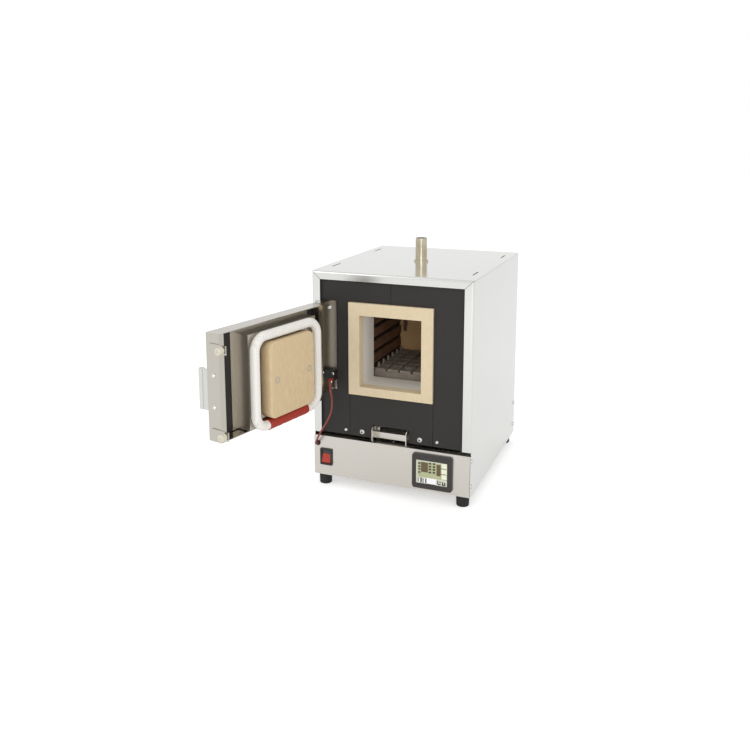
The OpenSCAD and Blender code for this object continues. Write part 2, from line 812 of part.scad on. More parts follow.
module controller_housing() {
  x = ctrl_w / 2 - 3.3;
  z = ctrl_h / 2 - 3.3;
  color([0.12, 0.12, 0.12]) case_place() difference() {
    box(ctrl_x - x, ctrl_x + x, 0.1, ctrl_d, ctrl_z - z, ctrl_z + z);
    box(ctrl_x - x + 2, ctrl_x + x - 2, 2, ctrl_d - 2, ctrl_z - z + 2, ctrl_z + z - 2);
    for (i = [-3 : 3]) {
      box(ctrl_x + i * 8 - 1.5, ctrl_x + i * 8 + 1.5, 12, ctrl_d - 12, ctrl_z + z - 3, ctrl_z + z + 1);
    }
  }
}

module solid_state_relay() {
  z = z0 + 4 + sink_h;
  color([0.15, 0.15, 0.16]) case_place() translate([0, sink_y, z]) difference() {
    union() {
      box(-relay_w / 2, relay_w / 2, -relay_len / 2, relay_len / 2, 0.2, 22);
      for (x = [-relay_w / 4, relay_w / 4]) {
        for (y = [-relay_len / 2 + 7, relay_len / 2 - 7]) {
          rod_z(x, y, 8, 21, 24.5);
        }
      }
    }
    for (x = [-relay_w / 4, relay_w / 4]) {
      for (y = [-relay_len / 2 + 7, relay_len / 2 - 7]) {
        box(x - 3, x + 3, y - 0.5, y + 0.5, 23.5, 25);
      }
    }
  }
}

module relay_heatsink() {
  pitch = (sink_w - 3.5) / 9;
  y = sink_len / 2;
  color([0.8, 0.81, 0.82]) case_place() translate([0, sink_y, z0]) {
    difference() {
      box(-sink_w / 2, sink_w / 2, -y, y, 4, 4 + sink_h);
      for (i = [0 : 8]) {
        box(-sink_w / 2 + 2.5 + i * pitch, -sink_w / 2 + i * pitch + pitch, -y - 1, y + 1,
            3, sink_h - 1);
      }
    }
    for (s = [0, 1]) {
      mirror([s, 0, 0]) box(sink_w / 2 - 0.5, sink_w / 2 + 10, -y, y, sheet + 0.2, 3.8);
      mirror([s, 0, 0]) box(sink_w / 2 - 1.5, sink_w / 2 + 1, -y, y, sheet + 0.2, 6);
    }
  }
}

module terminal_block() {
  color([0.9, 0.88, 0.82]) case_place() difference() {
    union() {
      box(-126, -70, 180, 196, z0 + sheet + 0.2, z0 + 22);
      box(-131, -65, 182, 194, z0 + sheet + 0.2, z0 + 4);
    }
    for (i = [0 : 4]) {
      rod_z(-120 + i * 11, 188, 5, z0 + 14, z0 + 23);
      rod_y(-120 + i * 11, z0 + 9, 4, 179, 197);
    }
  }
}

module mains_inlet() {
  color([0.1, 0.1, 0.1]) case_place() difference() {
    union() {
      pad_y(-90, z0 + 39, 50, 28, 3, case_d, case_d + 4);
      box(-103.8, -76.2, case_d - 22, case_d + 1, z0 + 29.2, z0 + 48.8);
      for (i = [-1 : 1]) {
        box(-90 + i * 7 - 2, -90 + i * 7 + 2, case_d - 32, case_d - 21, z0 + 38.5, z0 + 39.5);
      }
    }
    difference() {
      box(-101.5, -78.5, case_d - 17, case_d + 5, z0 + 31.5, z0 + 46.5);
      for (i = [-1 : 1]) {
        box(-90 + i * 7 - 1, -90 + i * 7 + 1, case_d - 18, case_d, z0 + 37, z0 + 41);
      }
    }
  }
}

module feet() {
  color([0.12, 0.12, 0.12]) case_place() for (s = [-1, 1]) {
    for (y = [foot_inset, case_d - foot_inset]) {
      translate([s * (hw - foot_inset - 3), y, 0]) rotate_extrude()
        polygon([[5.5, 0], [foot_d / 2 - 1.6, 0], [foot_d / 2 - 0.8, 0.8], [foot_d / 2, z0],
                 [2.5 + fit, z0], [2.5 + fit, 8], [5.5, 8]]);
    }
  }
}

module foot_screws() {
  color([0.75, 0.75, 0.75]) case_place() for (s = [-1, 1]) {
    for (y = [foot_inset, case_d - foot_inset]) {
      translate([s * (hw - foot_inset - 3), y, 0]) {
        rod_z(0, 0, 9.5, 5, 8);
        rod_z(0, 0, 5, 7, z0 + 8);
        difference() {
          translate([0, 0, z0 + sheet]) cylinder(d = 9, h = 4, $fn = 6);
          rod_z(0, 0, 4.6, z0 - 1, z0 + 9);
        }
      }
    }
  }
}

module hinge_tab(z) {
  difference() {
    union() {
      box(hinge_x - 7, hinge_x + 5, hinge_y, brk_y - 1, z, z + lug_t);
      translate([hinge_x, hinge_y, z]) cylinder(r = 7, h = lug_t);
    }
    rod_z(hinge_x, hinge_y, bolt_d + 2 * fit, z - 1, z + lug_t + 1);
  }
}

module hinge_bracket() {
  color([0.5, 0.48, 0.43]) case_place() difference() {
    union() {
      box(hinge_x - 12, hinge_x + 17, brk_y - brk_t, brk_y, brk_z0, brk_z1);
      box(hinge_x - 12, hinge_x - 9.5, hinge_y + 14, brk_y, brk_z0, brk_z1);
      for (z = [brk_z0, brk_z1 - lug_t]) {
        hinge_tab(z);
        box(hinge_x - 12, hinge_x - 6, hinge_y + 14, brk_y, z, z + lug_t);
      }
    }
    for (z = bracket_zs()) {
      rod_y(hinge_x + 3.5, z, 4 + 2 * fit, brk_y - brk_t - 1, brk_y + 1);
    }
    for (s = [-1, 1]) {
      rod_y(sw_x + s * 10, sw_z, 3 + 2 * fit, brk_y - brk_t - 1, brk_y + 1);
    }
  }
}

module bracket_screws() {
  color([0.82, 0.82, 0.8]) case_place() {
    for (z = bracket_zs()) {
      screw_y(hinge_x + 3.5, z, 4, 7.5, 2.4, brk_y - brk_t, 12);
    }
    for (s = [-1, 1]) {
      screw_y(sw_x + s * 10, sw_z, 3, 5.6, 1.8, sw_y - sw_d, sw_d + brk_t - 0.2);
    }
  }
}

module hinge_bolts() {
  color([0.85, 0.85, 0.84]) case_place() for (s = [0, 1]) {
    z = s > 0 ? door_z1 : door_z0;
    translate([hinge_x, hinge_y, z]) mirror([0, 0, 1 - s]) {
      translate([0, 0, 0.2]) cylinder(d = 10, h = 4, $fn = 6);
      translate([0, 0, -lug_t * 2 - 4]) cylinder(d = bolt_d, h = lug_t * 2 + 4.5);
      translate([0, 0, -lug_t * 2 - 4.3]) cylinder(d = 9, h = 3.6, $fn = 6);
    }
  }
}

module door_switch_body() {
  color([0.1, 0.1, 0.1]) case_place() difference() {
    union() {
      box(sw_x - sw_w / 2, sw_x + sw_w / 2, sw_y - sw_d, sw_y, sw_z - sw_h / 2, sw_z + sw_h / 2);
      box(sw_x - 7, sw_x + sw_w / 2, sw_y - sw_d, sw_y, sw_z - sw_h / 2 - 8, sw_z - sw_h / 2 + 1);
    }
    for (s = [-1, 1]) {
      rod_y(sw_x + s * 10, sw_z, 3 + 2 * fit, sw_y - sw_d - 1, sw_y + 1);
    }
    rod_y(plunger_x, plunger_z, plunger_d + 2 * run_clear, sw_y - sw_d - 1, sw_y - 2);
  }
}

module door_switch_plunger() {
  tip = hinge_y + lip_n + 0.3;
  color([0.7, 0.12, 0.1]) case_place()
    rod_y(plunger_x, plunger_z, plunger_d, tip, sw_y - 2 - plunger_travel - 0.2);
}

// Sagging red lead between the door switch and the control panel
function lead_pts() = [
  [sw_x + 1, sw_y - sw_d / 2 - 1, sw_z - sw_h / 2 - 8.2],
  [sw_x + 2, sw_y - sw_d / 2 - 2, sw_z - 26],
  [sw_x + 7, sw_y - 10, sw_z - 50],
  [sw_x + 6, sw_y - 12, sw_z - 72],
  [sw_x - 2, sw_y - 15, sw_z - 92],
  [sw_x - 13, sw_y - 18, sw_z - 112],
  [sw_x - 21, sw_y - 18, sw_z - 128],
  [lead_x + 1, sw_y - 14, lead_z + 3],
  [lead_x, sw_y - 8, lead_z],
  [lead_x, 6, lead_z]
];

function dir_at(p, i) =
  let (a = p[max(i - 1, 0)], b = p[min(i + 1, len(p) - 1)], d = b - a) d / norm(d);
function smooth(p, i, t) =
  let (a = p[max(i - 1, 0)], b = p[i], c = p[i + 1], d = p[min(i + 2, len(p) - 1)])
  0.5 * (2 * b + (c - a) * t + (2 * a - 5 * b + 4 * c - d) * t * t
         + (3 * b - a - 3 * c + d) * t * t * t);

module swept(p, r) {
  n = len(p);
  rings = [for (i = [0 : n - 1])
    let (t = dir_at(p, i), s = [1, 0.2, 0] / norm([1, 0.2, 0]),
         e1 = cross(t, s) / norm(cross(t, s)), e2 = cross(t, e1))
    for (k = [0 : 7]) p[i] + r * (cos(45 * k) * e1 + sin(45 * k) * e2)];
  walls = [for (i = [0 : n - 2]) for (k = [0 : 7])
    [8 * i + k, 8 * i + (k + 1) % 8, 8 * (i + 1) + (k + 1) % 8, 8 * (i + 1) + k]];
  caps = [[for (k = [7 : -1 : 0]) k], [for (k = [0 : 7]) 8 * (n - 1) + k]];
  polyhedron(points = rings, faces = concat(walls, caps), convexity = 6);
}

module door_switch_lead() {
  p = lead_pts();
  n = len(p);
  fine = concat([for (i = [0 : n - 2]) for (k = [0 : 3]) smooth(p, i, k / 4)], [p[n - 1]]);
  color([0.62, 0.2, 0.17]) case_place() swept(fine, lead_r);
}

module lead_grommet() {
  color([0.1, 0.1, 0.1]) case_place() translate([lead_x, 0, lead_z]) rotate([-90, 0, 0])
    rotate_extrude()
      polygon([[lead_r + 0.5, -1.6], [4.4, -1.6], [5.2, -0.8], [5.2, 0], [3.4, 0],
               [3.4, sheet], [5, sheet], [4.4, sheet + 1.6], [lead_r + 0.5, sheet + 1.6]]);
}

module door_lug(za) {
  translate([0, 0, za]) difference() {
    union() {
      cylinder(r = 7, h = lug_t);
      translate([0, -7, 0]) cube([door_u0 + sheet, 14, lug_t]);
    }
    translate([0, 0, -1]) cylinder(d = bolt_d + 2 * run_clear, h = lug_t + 2);
  }
}

module door_tray() {
  color([0.82, 0.8, 0.76]) door_place() {
    difference() {
      box(door_u0, door_u1, skin_n, lip_n, door_z0, door_z1);
      box(door_u0 + sheet, door_u1 - sheet, skin_n + sheet, lip_n - sheet,
          door_z0 + sheet, door_z1 - sheet);
      box(door_u0 + 8, door_u1 - door_lip, lip_n - 3, lip_n + 1,
          door_z0 + sheet, door_z1 - sheet);
      for (z = handle_zs()) {
        rod_x(flange_n, z, 4 + 2 * fit, door_u1 - 3, door_u1 + 1);
        rod_y(grip_u, z, 4 + 2 * fit, skin_n - 1, skin_n + 3);
      }
    }
    door_lug(door_z0);
    door_lug(door_z1 - lug_t);
  }
}

function handle_zs() = [handle_z - 25, handle_z + 25];

module door_board() {
  color([0.12, 0.12, 0.12]) door_place()
    box(door_u0 + sheet + 0.5, door_u1 - sheet - 18, skin_n + sheet + 0.1, skin_n + sheet + 3.1,
        door_z0 + sheet + 0.5, door_z1 - sheet - 0.5);
}

module door_liner() {
  n0 = skin_n + sheet + 3.3;
  u0 = mid_u - gasket_w / 2 + 1;
  u1 = mid_u + gasket_w / 2 - 1;
  za = door_z0 + sheet + 1.5;
  zb = open_z + gasket_h / 2 - 1;
  color([0.8, 0.78, 0.73]) door_place() difference() {
    union() {
      box(u0, u1, n0, liner_n, za, zb);
      box(u0 - 10, u1 + 12, n0, n0 + sheet, za, zb + 8);
    }
    box(u0 + sheet, u1 - sheet, n0 - 1, liner_n - sheet, za + sheet, zb - sheet);
    box(mid_u - plug_hw - 0.5, mid_u + plug_hw + 0.5, liner_n - 3, liner_n + 1,
        open_z - plug_hh - 0.5, open_z + plug_hh + 0.5);
  }
}

module door_insulation() {
  g = sheet + 0.4;
  color([0.93, 0.92, 0.89]) door_place()
    box(mid_u - gasket_w / 2 + 1 + g, mid_u + gasket_w / 2 - 1 - g, skin_n + sheet + 3.5,
        liner_n - sheet - 0.4, door_z0 + sheet + 1.5 + g, open_z + gasket_h / 2 - 1 - g);
}

module door_plug() {
  color([0.84, 0.74, 0.56]) door_place() difference() {
    translate([0, 0, 0]) pad_y(mid_u, open_z, 2 * plug_hw, 2 * plug_hh, 12, liner_n - sheet, plug_n);
    for (s = [-1, 1]) {
      rod_y(mid_u + s * 40, open_z, 12 + 2 * fit, plug_n - 3, plug_n + 1);
      rod_y(mid_u + s * 40, open_z, 5 + 2 * fit, liner_n - 3, plug_n);
    }
  }
}

module plug_pins() {
  color([0.86, 0.8, 0.7]) door_place() for (s = [-1, 1]) {
    difference() {
      rod_y(mid_u + s * 40, open_z, 12, plug_n - 2.8, plug_n + 0.3);
      rod_y(mid_u + s * 40, open_z, 5, plug_n - 0.7, plug_n + 1);
    }
    rod_y(mid_u + s * 40, open_z, 5, liner_n - sheet, plug_n - 2);
  }
}

module gasket_rope() {
  w = gasket_w - rope_d;
  h = gasket_h - rope_d;
  r = gasket_r - rope_d / 2;
  color([0.92, 0.92, 0.9]) door_place() translate([mid_u, rope_n, open_z]) {
    for (i = [-1, 1]) {
      rod_z(i * w / 2, 0, rope_d, -h / 2 + r, h / 2 - r);
      rod_x(0, i * h / 2, rope_d, -w / 2 + r, w / 2 - r);
    }
    for (q = [0 : 3]) {
      a = q * 90;
      sx = (q == 0 || q == 3) ? 1 : -1;
      sz = q < 2 ? 1 : -1;
      translate([sx * (w / 2 - r), 0, sz * (h / 2 - r)]) rotate([90, -a, 0])
        rotate_extrude(angle = 90) translate([r, 0]) circle(d = rope_d);
    }
  }
}

module gasket_sleeve() {
  z = open_z - gasket_h / 2 + rope_d / 2;
  u0 = mid_u - sleeve_len / 2 + 3.5;
  color([0.7, 0.16, 0.1]) door_place() difference() {
    rod_x(rope_n, z, rope_d + 2 * sleeve_t, u0, u0 + sleeve_len);
    rod_x(rope_n, z, rope_d + 0.2, u0 - 1, u0 + sleeve_len + 1);
  }
}

module door_handle() {
  za = handle_z - handle_h / 2;
  zb = handle_z + handle_h / 2;
  out = skin_n - handle_out;
  color([0.86, 0.86, 0.84]) door_place() difference() {
    union() {
      box(door_u1 - 23, door_u1 - 2, skin_n - 2.1, skin_n - 0.1, za, zb);
      box(door_u1 - 4, door_u1 - 2, out + 3, skin_n - 0.1, za, zb);
      box(door_u1 - 7, door_u1 - 0.5, out, out + 7, za, zb);
    }
    for (z = handle_zs()) {
      rod_y(grip_u, z, 4 + 2 * fit, skin_n - 3, skin_n + 1);
    }
  }
}

// Two screws hold the handle to the skin and two more pinch the free edge
module handle_screws() {
  color([0.8, 0.8, 0.78]) door_place() for (z = handle_zs()) {
    translate([door_u1, flange_n, z]) rotate([0, 90, 0]) handle_screw_head();
    rod_x(flange_n, z, 4, door_u1 - 7, door_u1 + 0.2);
    translate([grip_u, skin_n - 2.1, z]) rotate([90, 0, 0]) handle_screw_head();
    rod_y(grip_u, z, 4, skin_n - 2.3, skin_n + 5);
  }
}

module handle_screw_head() {
  rotate_extrude() polygon([[0, 0], [3.6, 0], [3.6, 0.8], [2.4, 1.9], [0, 1.9]]);
}

// Two short ceramic posts that stand out from the free edge of the door
module catch_posts() {
  color([0.9, 0.88, 0.82]) door_place() for (z = [post_z0, post_z1]) {
    translate([post_u, post_n, z]) rotate([0, 90, 0]) rotate_extrude()
      polygon([[0, 0], [post_d / 2 - 2, 0], [post_d / 2 - 2, 2], [post_d / 2, 2.4],
               [post_d / 2, post_len - 1.2], [post_d / 2 - 1.2, post_len],
               [2, post_len], [2, post_len - 0.8], [0, post_len - 0.8]]);
  }
}

// Plates on the free edge that carry the catch posts
module catch_bracket() {
  n1 = post_n + post_d / 2;
  color([0.82, 0.8, 0.76]) door_place() {
    box(door_u1 + 0.1, door_u1 + 2.1, skin_n + 8, n1, post_z0 - 7, post_z0 + 7);
    box(door_u1 + 0.1, door_u1 + 2.1, skin_n + 8, n1, post_z1 - 7, post_z1 + 7);
  }
}

top_cover();
side_panel_left();
side_panel_right();
rear_panel();
base_plate();
divider_plate();
control_panel();
front_plate_left();
front_plate_right();
front_plate_lower();
chamber_frame();
throat_liner();
chamber_floor();
chamber_roof();
chamber_wall_left();
chamber_wall_right();
chamber_wall_rear();
insulation_boards();
element_rods_left();
element_rods_right();
element_clamps();
floor_grid();
thermocouple();
flue_pipe();
flue_collar();
air_damper();
air_duct();
front_plate_screws();
duct_screws();
side_screws();
switch_bezel();
power_rocker();
controller_bezel();
controller_screen();
controller_housing();
solid_state_relay();
relay_heatsink();
terminal_block();
mains_inlet();
feet();
foot_screws();
hinge_bracket();
bracket_screws();
hinge_bolts();
door_switch_body();
door_switch_plunger();
door_switch_lead();
lead_grommet();
door_tray();
door_board();
door_liner();
door_insulation();
door_plug();
gasket_rope();
gasket_sleeve();
plug_pins();
door_handle();
handle_screws();
catch_posts();
catch_bracket();
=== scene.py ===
"""Studio scene of a bench-top jewellery kiln standing with its door open.

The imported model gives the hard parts.  This script dresses them in procedural
finishes and adds the soft and fine pieces: the braided door gasket and its red
sleeve, the fibre plug with softened edges, the red door switch lead, and the
marks on the lit display.
"""

import json
import logging
import math
from dataclasses import dataclass
from enum import Enum

import bmesh
import bpy
import numpy as np
from mathutils import Matrix, Vector


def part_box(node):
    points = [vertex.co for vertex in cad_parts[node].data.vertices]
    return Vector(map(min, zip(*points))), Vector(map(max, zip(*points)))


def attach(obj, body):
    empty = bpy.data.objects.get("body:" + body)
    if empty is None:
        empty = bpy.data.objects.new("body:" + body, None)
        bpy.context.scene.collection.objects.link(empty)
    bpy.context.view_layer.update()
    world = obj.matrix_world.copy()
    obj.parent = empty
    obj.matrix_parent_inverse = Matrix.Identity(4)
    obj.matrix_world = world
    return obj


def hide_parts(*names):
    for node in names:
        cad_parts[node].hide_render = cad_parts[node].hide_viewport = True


LOG = logging.getLogger("kiln")
MM = 0.001
IMAGE_SIDE = 750
# A wave texture turns 20 radians per unit at a scale of one, so dividing its
# scale by this repeats a band about every two pattern sizes.
WAVE_DIVISOR = 6.28
# Squeezing Z by this draws the fibre pattern out to three times its length.
FIBRE_SQUEEZE = 0.33
# A finish is this much duller in its hollows and brighter on its crests.
POLISH_SWING = 0.1
# Points of a new piece closer than this, in metres, are one point.
WELD = 1e-7

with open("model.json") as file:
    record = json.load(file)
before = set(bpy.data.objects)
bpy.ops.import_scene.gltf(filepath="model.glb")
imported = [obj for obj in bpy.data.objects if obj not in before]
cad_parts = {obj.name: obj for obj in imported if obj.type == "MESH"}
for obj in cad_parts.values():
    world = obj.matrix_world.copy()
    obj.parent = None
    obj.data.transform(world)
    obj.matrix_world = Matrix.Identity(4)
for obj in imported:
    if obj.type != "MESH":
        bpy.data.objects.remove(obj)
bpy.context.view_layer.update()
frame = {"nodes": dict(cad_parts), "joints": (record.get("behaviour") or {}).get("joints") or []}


class Pattern(Enum):
    """The way a finish varies over its surface."""

    ROLLED = "rolled"
    GRAIN = "grain"
    FIBRE = "fibre"
    WOVEN = "woven"


@dataclass(frozen=True)
class Finish:
    """One real surface: what it is made of and how it was made.

    Colours are sRGB hex, and second is the colour in the pattern's hollows.
    scale_mm is the real size of the pattern, and depth_mm is how deep it is
    cut into the surface.  glow is the light it gives off, and sheen its
    specular level.
    """

    name: str
    colour: str
    metallic: float
    roughness: float
    pattern: Pattern
    second: str = ""
    scale_mm: float = 2.0
    depth_mm: float = 0.02
    glow: float = 0.0
    sheen: float = 0.5


# Bright annealed stainless is rolled between polished rolls: a soft mirror
# whose reflections wander a little over each hand's breadth.
BRIGHT_STAINLESS = Finish("bright_annealed_stainless", "#d5d5d2", 1.0, 0.17,
                          Pattern.ROLLED, scale_mm=90.0, depth_mm=0.2)
# Satin stainless is rubbed fine: reflections blur to broad soft patches.
PANEL_STAINLESS = Finish("satin_panel_stainless", "#cdc9c2", 1.0, 0.3,
                         Pattern.ROLLED, scale_mm=70.0, depth_mm=0.15)
# Door sheet of the same steel, a shade darker from handling and heat.
DOOR_STAINLESS = Finish("door_stainless", "#bab6ad", 1.0, 0.2,
                        Pattern.ROLLED, scale_mm=60.0, depth_mm=0.15)
# Door liner: rubbed dull, so it shows no clear reflection.
LINER_STAINLESS = Finish("rubbed_door_stainless", "#c0baaf", 1.0, 0.42,
                         Pattern.ROLLED, scale_mm=50.0, depth_mm=0.15)
# Hinge bracket: thick mill plate, browner than the sheet round it.
BRACKET_STAINLESS = Finish("bracket_stainless", "#978f82", 1.0, 0.3,
                           Pattern.ROLLED, scale_mm=40.0, depth_mm=0.1)
# Thin tube near the hot chamber: straw and brown oxide over the steel.
FLUE_STAINLESS = Finish("heat_tinted_stainless", "#cfc8b8", 1.0, 0.26,
                        Pattern.ROLLED, "#a3997f", 18.0, 0.06)
# Inner and rear sheet as it leaves the mill: even and grey.
INNER_STAINLESS = Finish("mill_stainless", "#b4b2ac", 1.0, 0.38,
                         Pattern.ROLLED, scale_mm=30.0, depth_mm=0.05)
# Heat-proof stove coating: flat black, faintly pebbled by the spray.
BLACK_COATING = Finish("matt_black_coating", "#373533", 0.0, 0.52,
                       Pattern.GRAIN, "#2f2d2b", 1.2, 0.02, sheen=0.22)
# Pressed mineral fibre sawn to size: chalky, with short darker fibres.
FIBRE_BOARD = Finish("calcium_silicate_board", "#eadabf", 0.0, 0.95,
                     Pattern.FIBRE, "#dac69e", 3.2, 0.12)
# The same board on the door, tanned by the chamber's heat.
PLUG_BOARD = Finish("warmed_silicate_board", "#e5cfab", 0.0, 0.95,
                    Pattern.FIBRE, "#ceb489", 4.0, 0.12)
# Vacuum-formed fibre dries with a soft, slightly lumpy skin.
WHITE_FIBRE = Finish("vacuum_formed_fibre", "#f3efe8", 0.0, 0.97,
                     Pattern.GRAIN, "#e6e1d8", 5.0, 0.2)
# Refractory boards that have been fired many times: brown bloom in patches.
WALL_BOARD = Finish("heat_browned_board", "#8d6446", 0.0, 0.95,
                    Pattern.GRAIN, "#513726", 22.0, 0.2)
# The rear board takes less direct heat and stays tan.
REAR_BOARD = Finish("tan_refractory_board", "#e0bb88", 0.0, 0.95,
                    Pattern.GRAIN, "#c29b6c", 30.0, 0.2)
# Unfired low-density board: off-white, soft and slightly fluffy.
BACKING_FIBRE = Finish("soft_backing_board", "#efece5", 0.0, 0.97,
                       Pattern.GRAIN, "#e0dbd0", 6.0, 0.3)
# Pressed cordierite: grey-buff, speckled, dry to the eye.
KILN_SHELF = Finish("cordierite_shelf", "#aaa196", 0.0, 0.9,
                    Pattern.GRAIN, "#7c7268", 7.0, 0.15)
# Resistance wire grows a dark scale that keeps a little metal lustre.
ELEMENT_ROD = Finish("oxidised_element", "#3a2c24", 0.6, 0.6,
                     Pattern.GRAIN, "#241a15", 2.0, 0.03)
# Alumina stained brown by many firings.
HOT_SHEATH = Finish("fired_alumina_sheath", "#6d5a48", 0.0, 0.7,
                    Pattern.GRAIN, "#584637", 3.0, 0.03)
# Sintered alumina pins: matt, near the colour of the board they hold.
PIN_CERAMIC = Finish("pin_alumina", "#cdbfa8", 0.0, 0.75,
                     Pattern.GRAIN, "#b7a78e", 2.0, 0.03)
# Glazed steatite posts: cream with a soft shine.
CREAM_CERAMIC = Finish("cream_steatite", "#e2dccb", 0.0, 0.3,
                       Pattern.GRAIN, "#d2cab5", 4.0, 0.02)
# Turned brass clamps: yellow, with fine tool marks.
MACHINED_BRASS = Finish("machined_brass", "#b08d4a", 1.0, 0.3,
                        Pattern.ROLLED, scale_mm=2.0, depth_mm=0.02)
# Bright zinc plating: small, cool, sharp highlights.
PLATED_SCREW = Finish("zinc_plated_screw", "#cfcfcb", 1.0, 0.22,
                      Pattern.ROLLED, scale_mm=3.0, depth_mm=0.03)
# Inside a screw's keyway: plain steel in shade.
SCREW_SOCKET = Finish("socket_shadow", "#4a4845", 1.0, 0.5,
                      Pattern.GRAIN, "#3a3835", 0.8, 0.02)
# Glass-filled nylon shows the spark-eroded skin of its mould.
BLACK_MOULDING = Finish("black_nylon_moulding", "#1f1e1e", 0.0, 0.45,
                        Pattern.GRAIN, "#191818", 0.7, 0.01)
# ABS moulded in a satin tool: a soft, even grey-black.
BEZEL_MOULDING = Finish("satin_black_abs", "#35312f", 0.0, 0.4,
                        Pattern.GRAIN, "#2e2a28", 0.8, 0.01)
# Polycarbonate from a polished tool: glossy, coloured right through.
RED_ROCKER = Finish("red_rocker_polycarbonate", "#bd3a26", 0.0, 0.25,
                    Pattern.GRAIN, "#a93220", 6.0, 0.01)
# Moulded polyamide terminal block: cream and slightly waxy.
CREAM_MOULDING = Finish("cream_moulding", "#e3dcc8", 0.0, 0.5,
                        Pattern.GRAIN, "#d8d0ba", 1.0, 0.01)
# Rubber feet and grommet: dull black with no clear highlight.
MOULDED_RUBBER = Finish("moulded_rubber", "#201f1e", 0.0, 0.8,
                        Pattern.GRAIN, "#191817", 1.5, 0.02)
# Extruded aluminium heatsink: pale, with faint lines from the die.
ALUMINIUM = Finish("extruded_aluminium", "#c9cacc", 1.0, 0.35,
                   Pattern.ROLLED, scale_mm=8.0, depth_mm=0.03)
# Silicone lead: soft, slightly dusty, never quite round.
SILICONE_RED = Finish("red_silicone_lead", "#8f4a3f", 0.0, 0.5,
                      Pattern.GRAIN, "#86352c", 5.0, 0.04)
# The braids are drawn two to three times coarser than the real yarn,
# because the yarn itself is finer than a pixel.
SLEEVE_RED = Finish("coated_glass_sleeve", "#b23424", 0.0, 0.6,
                    Pattern.WOVEN, "#8f271a", 2.2, 0.12)
ROPE_WHITE = Finish("braided_silica_rope", "#f8f5ef", 0.0, 0.95,
                    Pattern.WOVEN, "#eae7e0", 2.6, 0.08)
# Powder coat: light grey, with the slight orange peel of the oven.
HANDLE_GREY = Finish("powder_coated_grey", "#dcdcd8", 0.0, 0.4,
                     Pattern.GRAIN, "#d0d0cb", 1.0, 0.02)
# The display lies under smooth clear film, so all its parts share one low
# roughness.  The ground and the pale blocks are lit, the dark marks are not.
DISPLAY_FACE = Finish("lit_display", "#b9bd95", 0.0, 0.25,
                      Pattern.GRAIN, "#adb188", 9.0, 0.0, glow=0.12)
DISPLAY_EDGE = Finish("display_edge", "#dbddcc", 0.0, 0.25,
                      Pattern.GRAIN, "#d2d4c4", 9.0, 0.0, glow=0.12)
DISPLAY_CREAM = Finish("display_keys", "#e6e9d2", 0.0, 0.25,
                       Pattern.GRAIN, "#dee2c8", 6.0, 0.0, glow=0.2)
DISPLAY_WHITE = Finish("display_field", "#efeff3", 0.0, 0.25,
                       Pattern.GRAIN, "#e4e4ea", 6.0, 0.0, glow=0.25)
DISPLAY_BROWN = Finish("display_block", "#6e5c40", 0.0, 0.25,
                       Pattern.GRAIN, "#5f5038", 3.0, 0.0)
DISPLAY_INK = Finish("display_ink", "#383628", 0.0, 0.25,
                     Pattern.GRAIN, "#2e2c20", 3.0, 0.0)


def linear(hex_colour: str) -> tuple[float, float, float, float]:
    """Turns an sRGB hex colour into linear light.

    Args:
        hex_colour: six hex digits after a hash sign.

    Returns:
        Red, green, blue and alpha, each from 0 to 1.
    """
    parts = [int(hex_colour[i:i + 2], 16) / 255 for i in (1, 3, 5)]
    light = [c / 12.92 if c <= 0.04045 else ((c + 0.055) / 1.055) ** 2.4
             for c in parts]
    return light[0], light[1], light[2], 1.0


def add_node(tree: bpy.types.NodeTree, kind: str, links: dict | None = None,
             **settings: object) -> bpy.types.Node:
    """Adds one shader node with its settings and incoming links.

    Args:
        tree: the node tree that gets the node.
        kind: the node's type name.
        links: input socket name or index to the output socket that feeds it.
        settings: node properties, or input values by socket name with
            underscores for spaces.

    Returns:
        The new node.
    """
    node = tree.nodes.new(kind)
    for key, value in settings.items():
        if hasattr(node, key):
            setattr(node, key, value)
        else:
            node.inputs[key.replace("_", " ")].default_value = value
    for key, source in (links or {}).items():
        tree.links.new(source, node.inputs[key])
    return node


def pattern_height(tree: bpy.types.NodeTree,
                   finish: Finish) -> bpy.types.NodeSocket:
    """Makes the height field of a finish, from 0 to 1.

    Rolled steel is one slow noise.  Grain is the same noise with four finer
    octaves.  Fibre is that grain drawn out three times along Z.  A weave is
    the product of the bands across X and Z, or the band across Y where that
    is higher.

    Args:
        tree: the material's node tree.
        finish: the finish whose pattern is drawn.

    Returns:
        The socket that carries the height.
    """
    coords = add_node(tree, "ShaderNodeTexCoord").outputs["Object"]
    per_metre = 1.0 / (finish.scale_mm * MM)
    if finish.pattern is Pattern.WOVEN:
        bands = [
            add_node(tree, "ShaderNodeTexWave", {"Vector": coords},
                     bands_direction=axis, Scale=per_metre / WAVE_DIVISOR,
                     Distortion=0.8, Detail_Scale=2.0).outputs["Fac"]
            for axis in ("X", "Y", "Z")
        ]
        crossed = add_node(tree, "ShaderNodeMath", {0: bands[0], 1: bands[2]},
                           operation="MULTIPLY").outputs[0]
        return add_node(tree, "ShaderNodeMath", {0: crossed, 1: bands[1]},
                        operation="MAXIMUM").outputs[0]
    if finish.pattern is Pattern.FIBRE:
        coords = add_node(tree, "ShaderNodeMapping", {"Vector": coords},
                          Scale=(1.0, 1.0, FIBRE_SQUEEZE)).outputs["Vector"]
    detail = 0.0 if finish.pattern is Pattern.ROLLED else 4.0
    return add_node(tree, "ShaderNodeTexNoise", {"Vector": coords},
                    Scale=per_metre, Detail=detail, Roughness=0.6).outputs["Fac"]


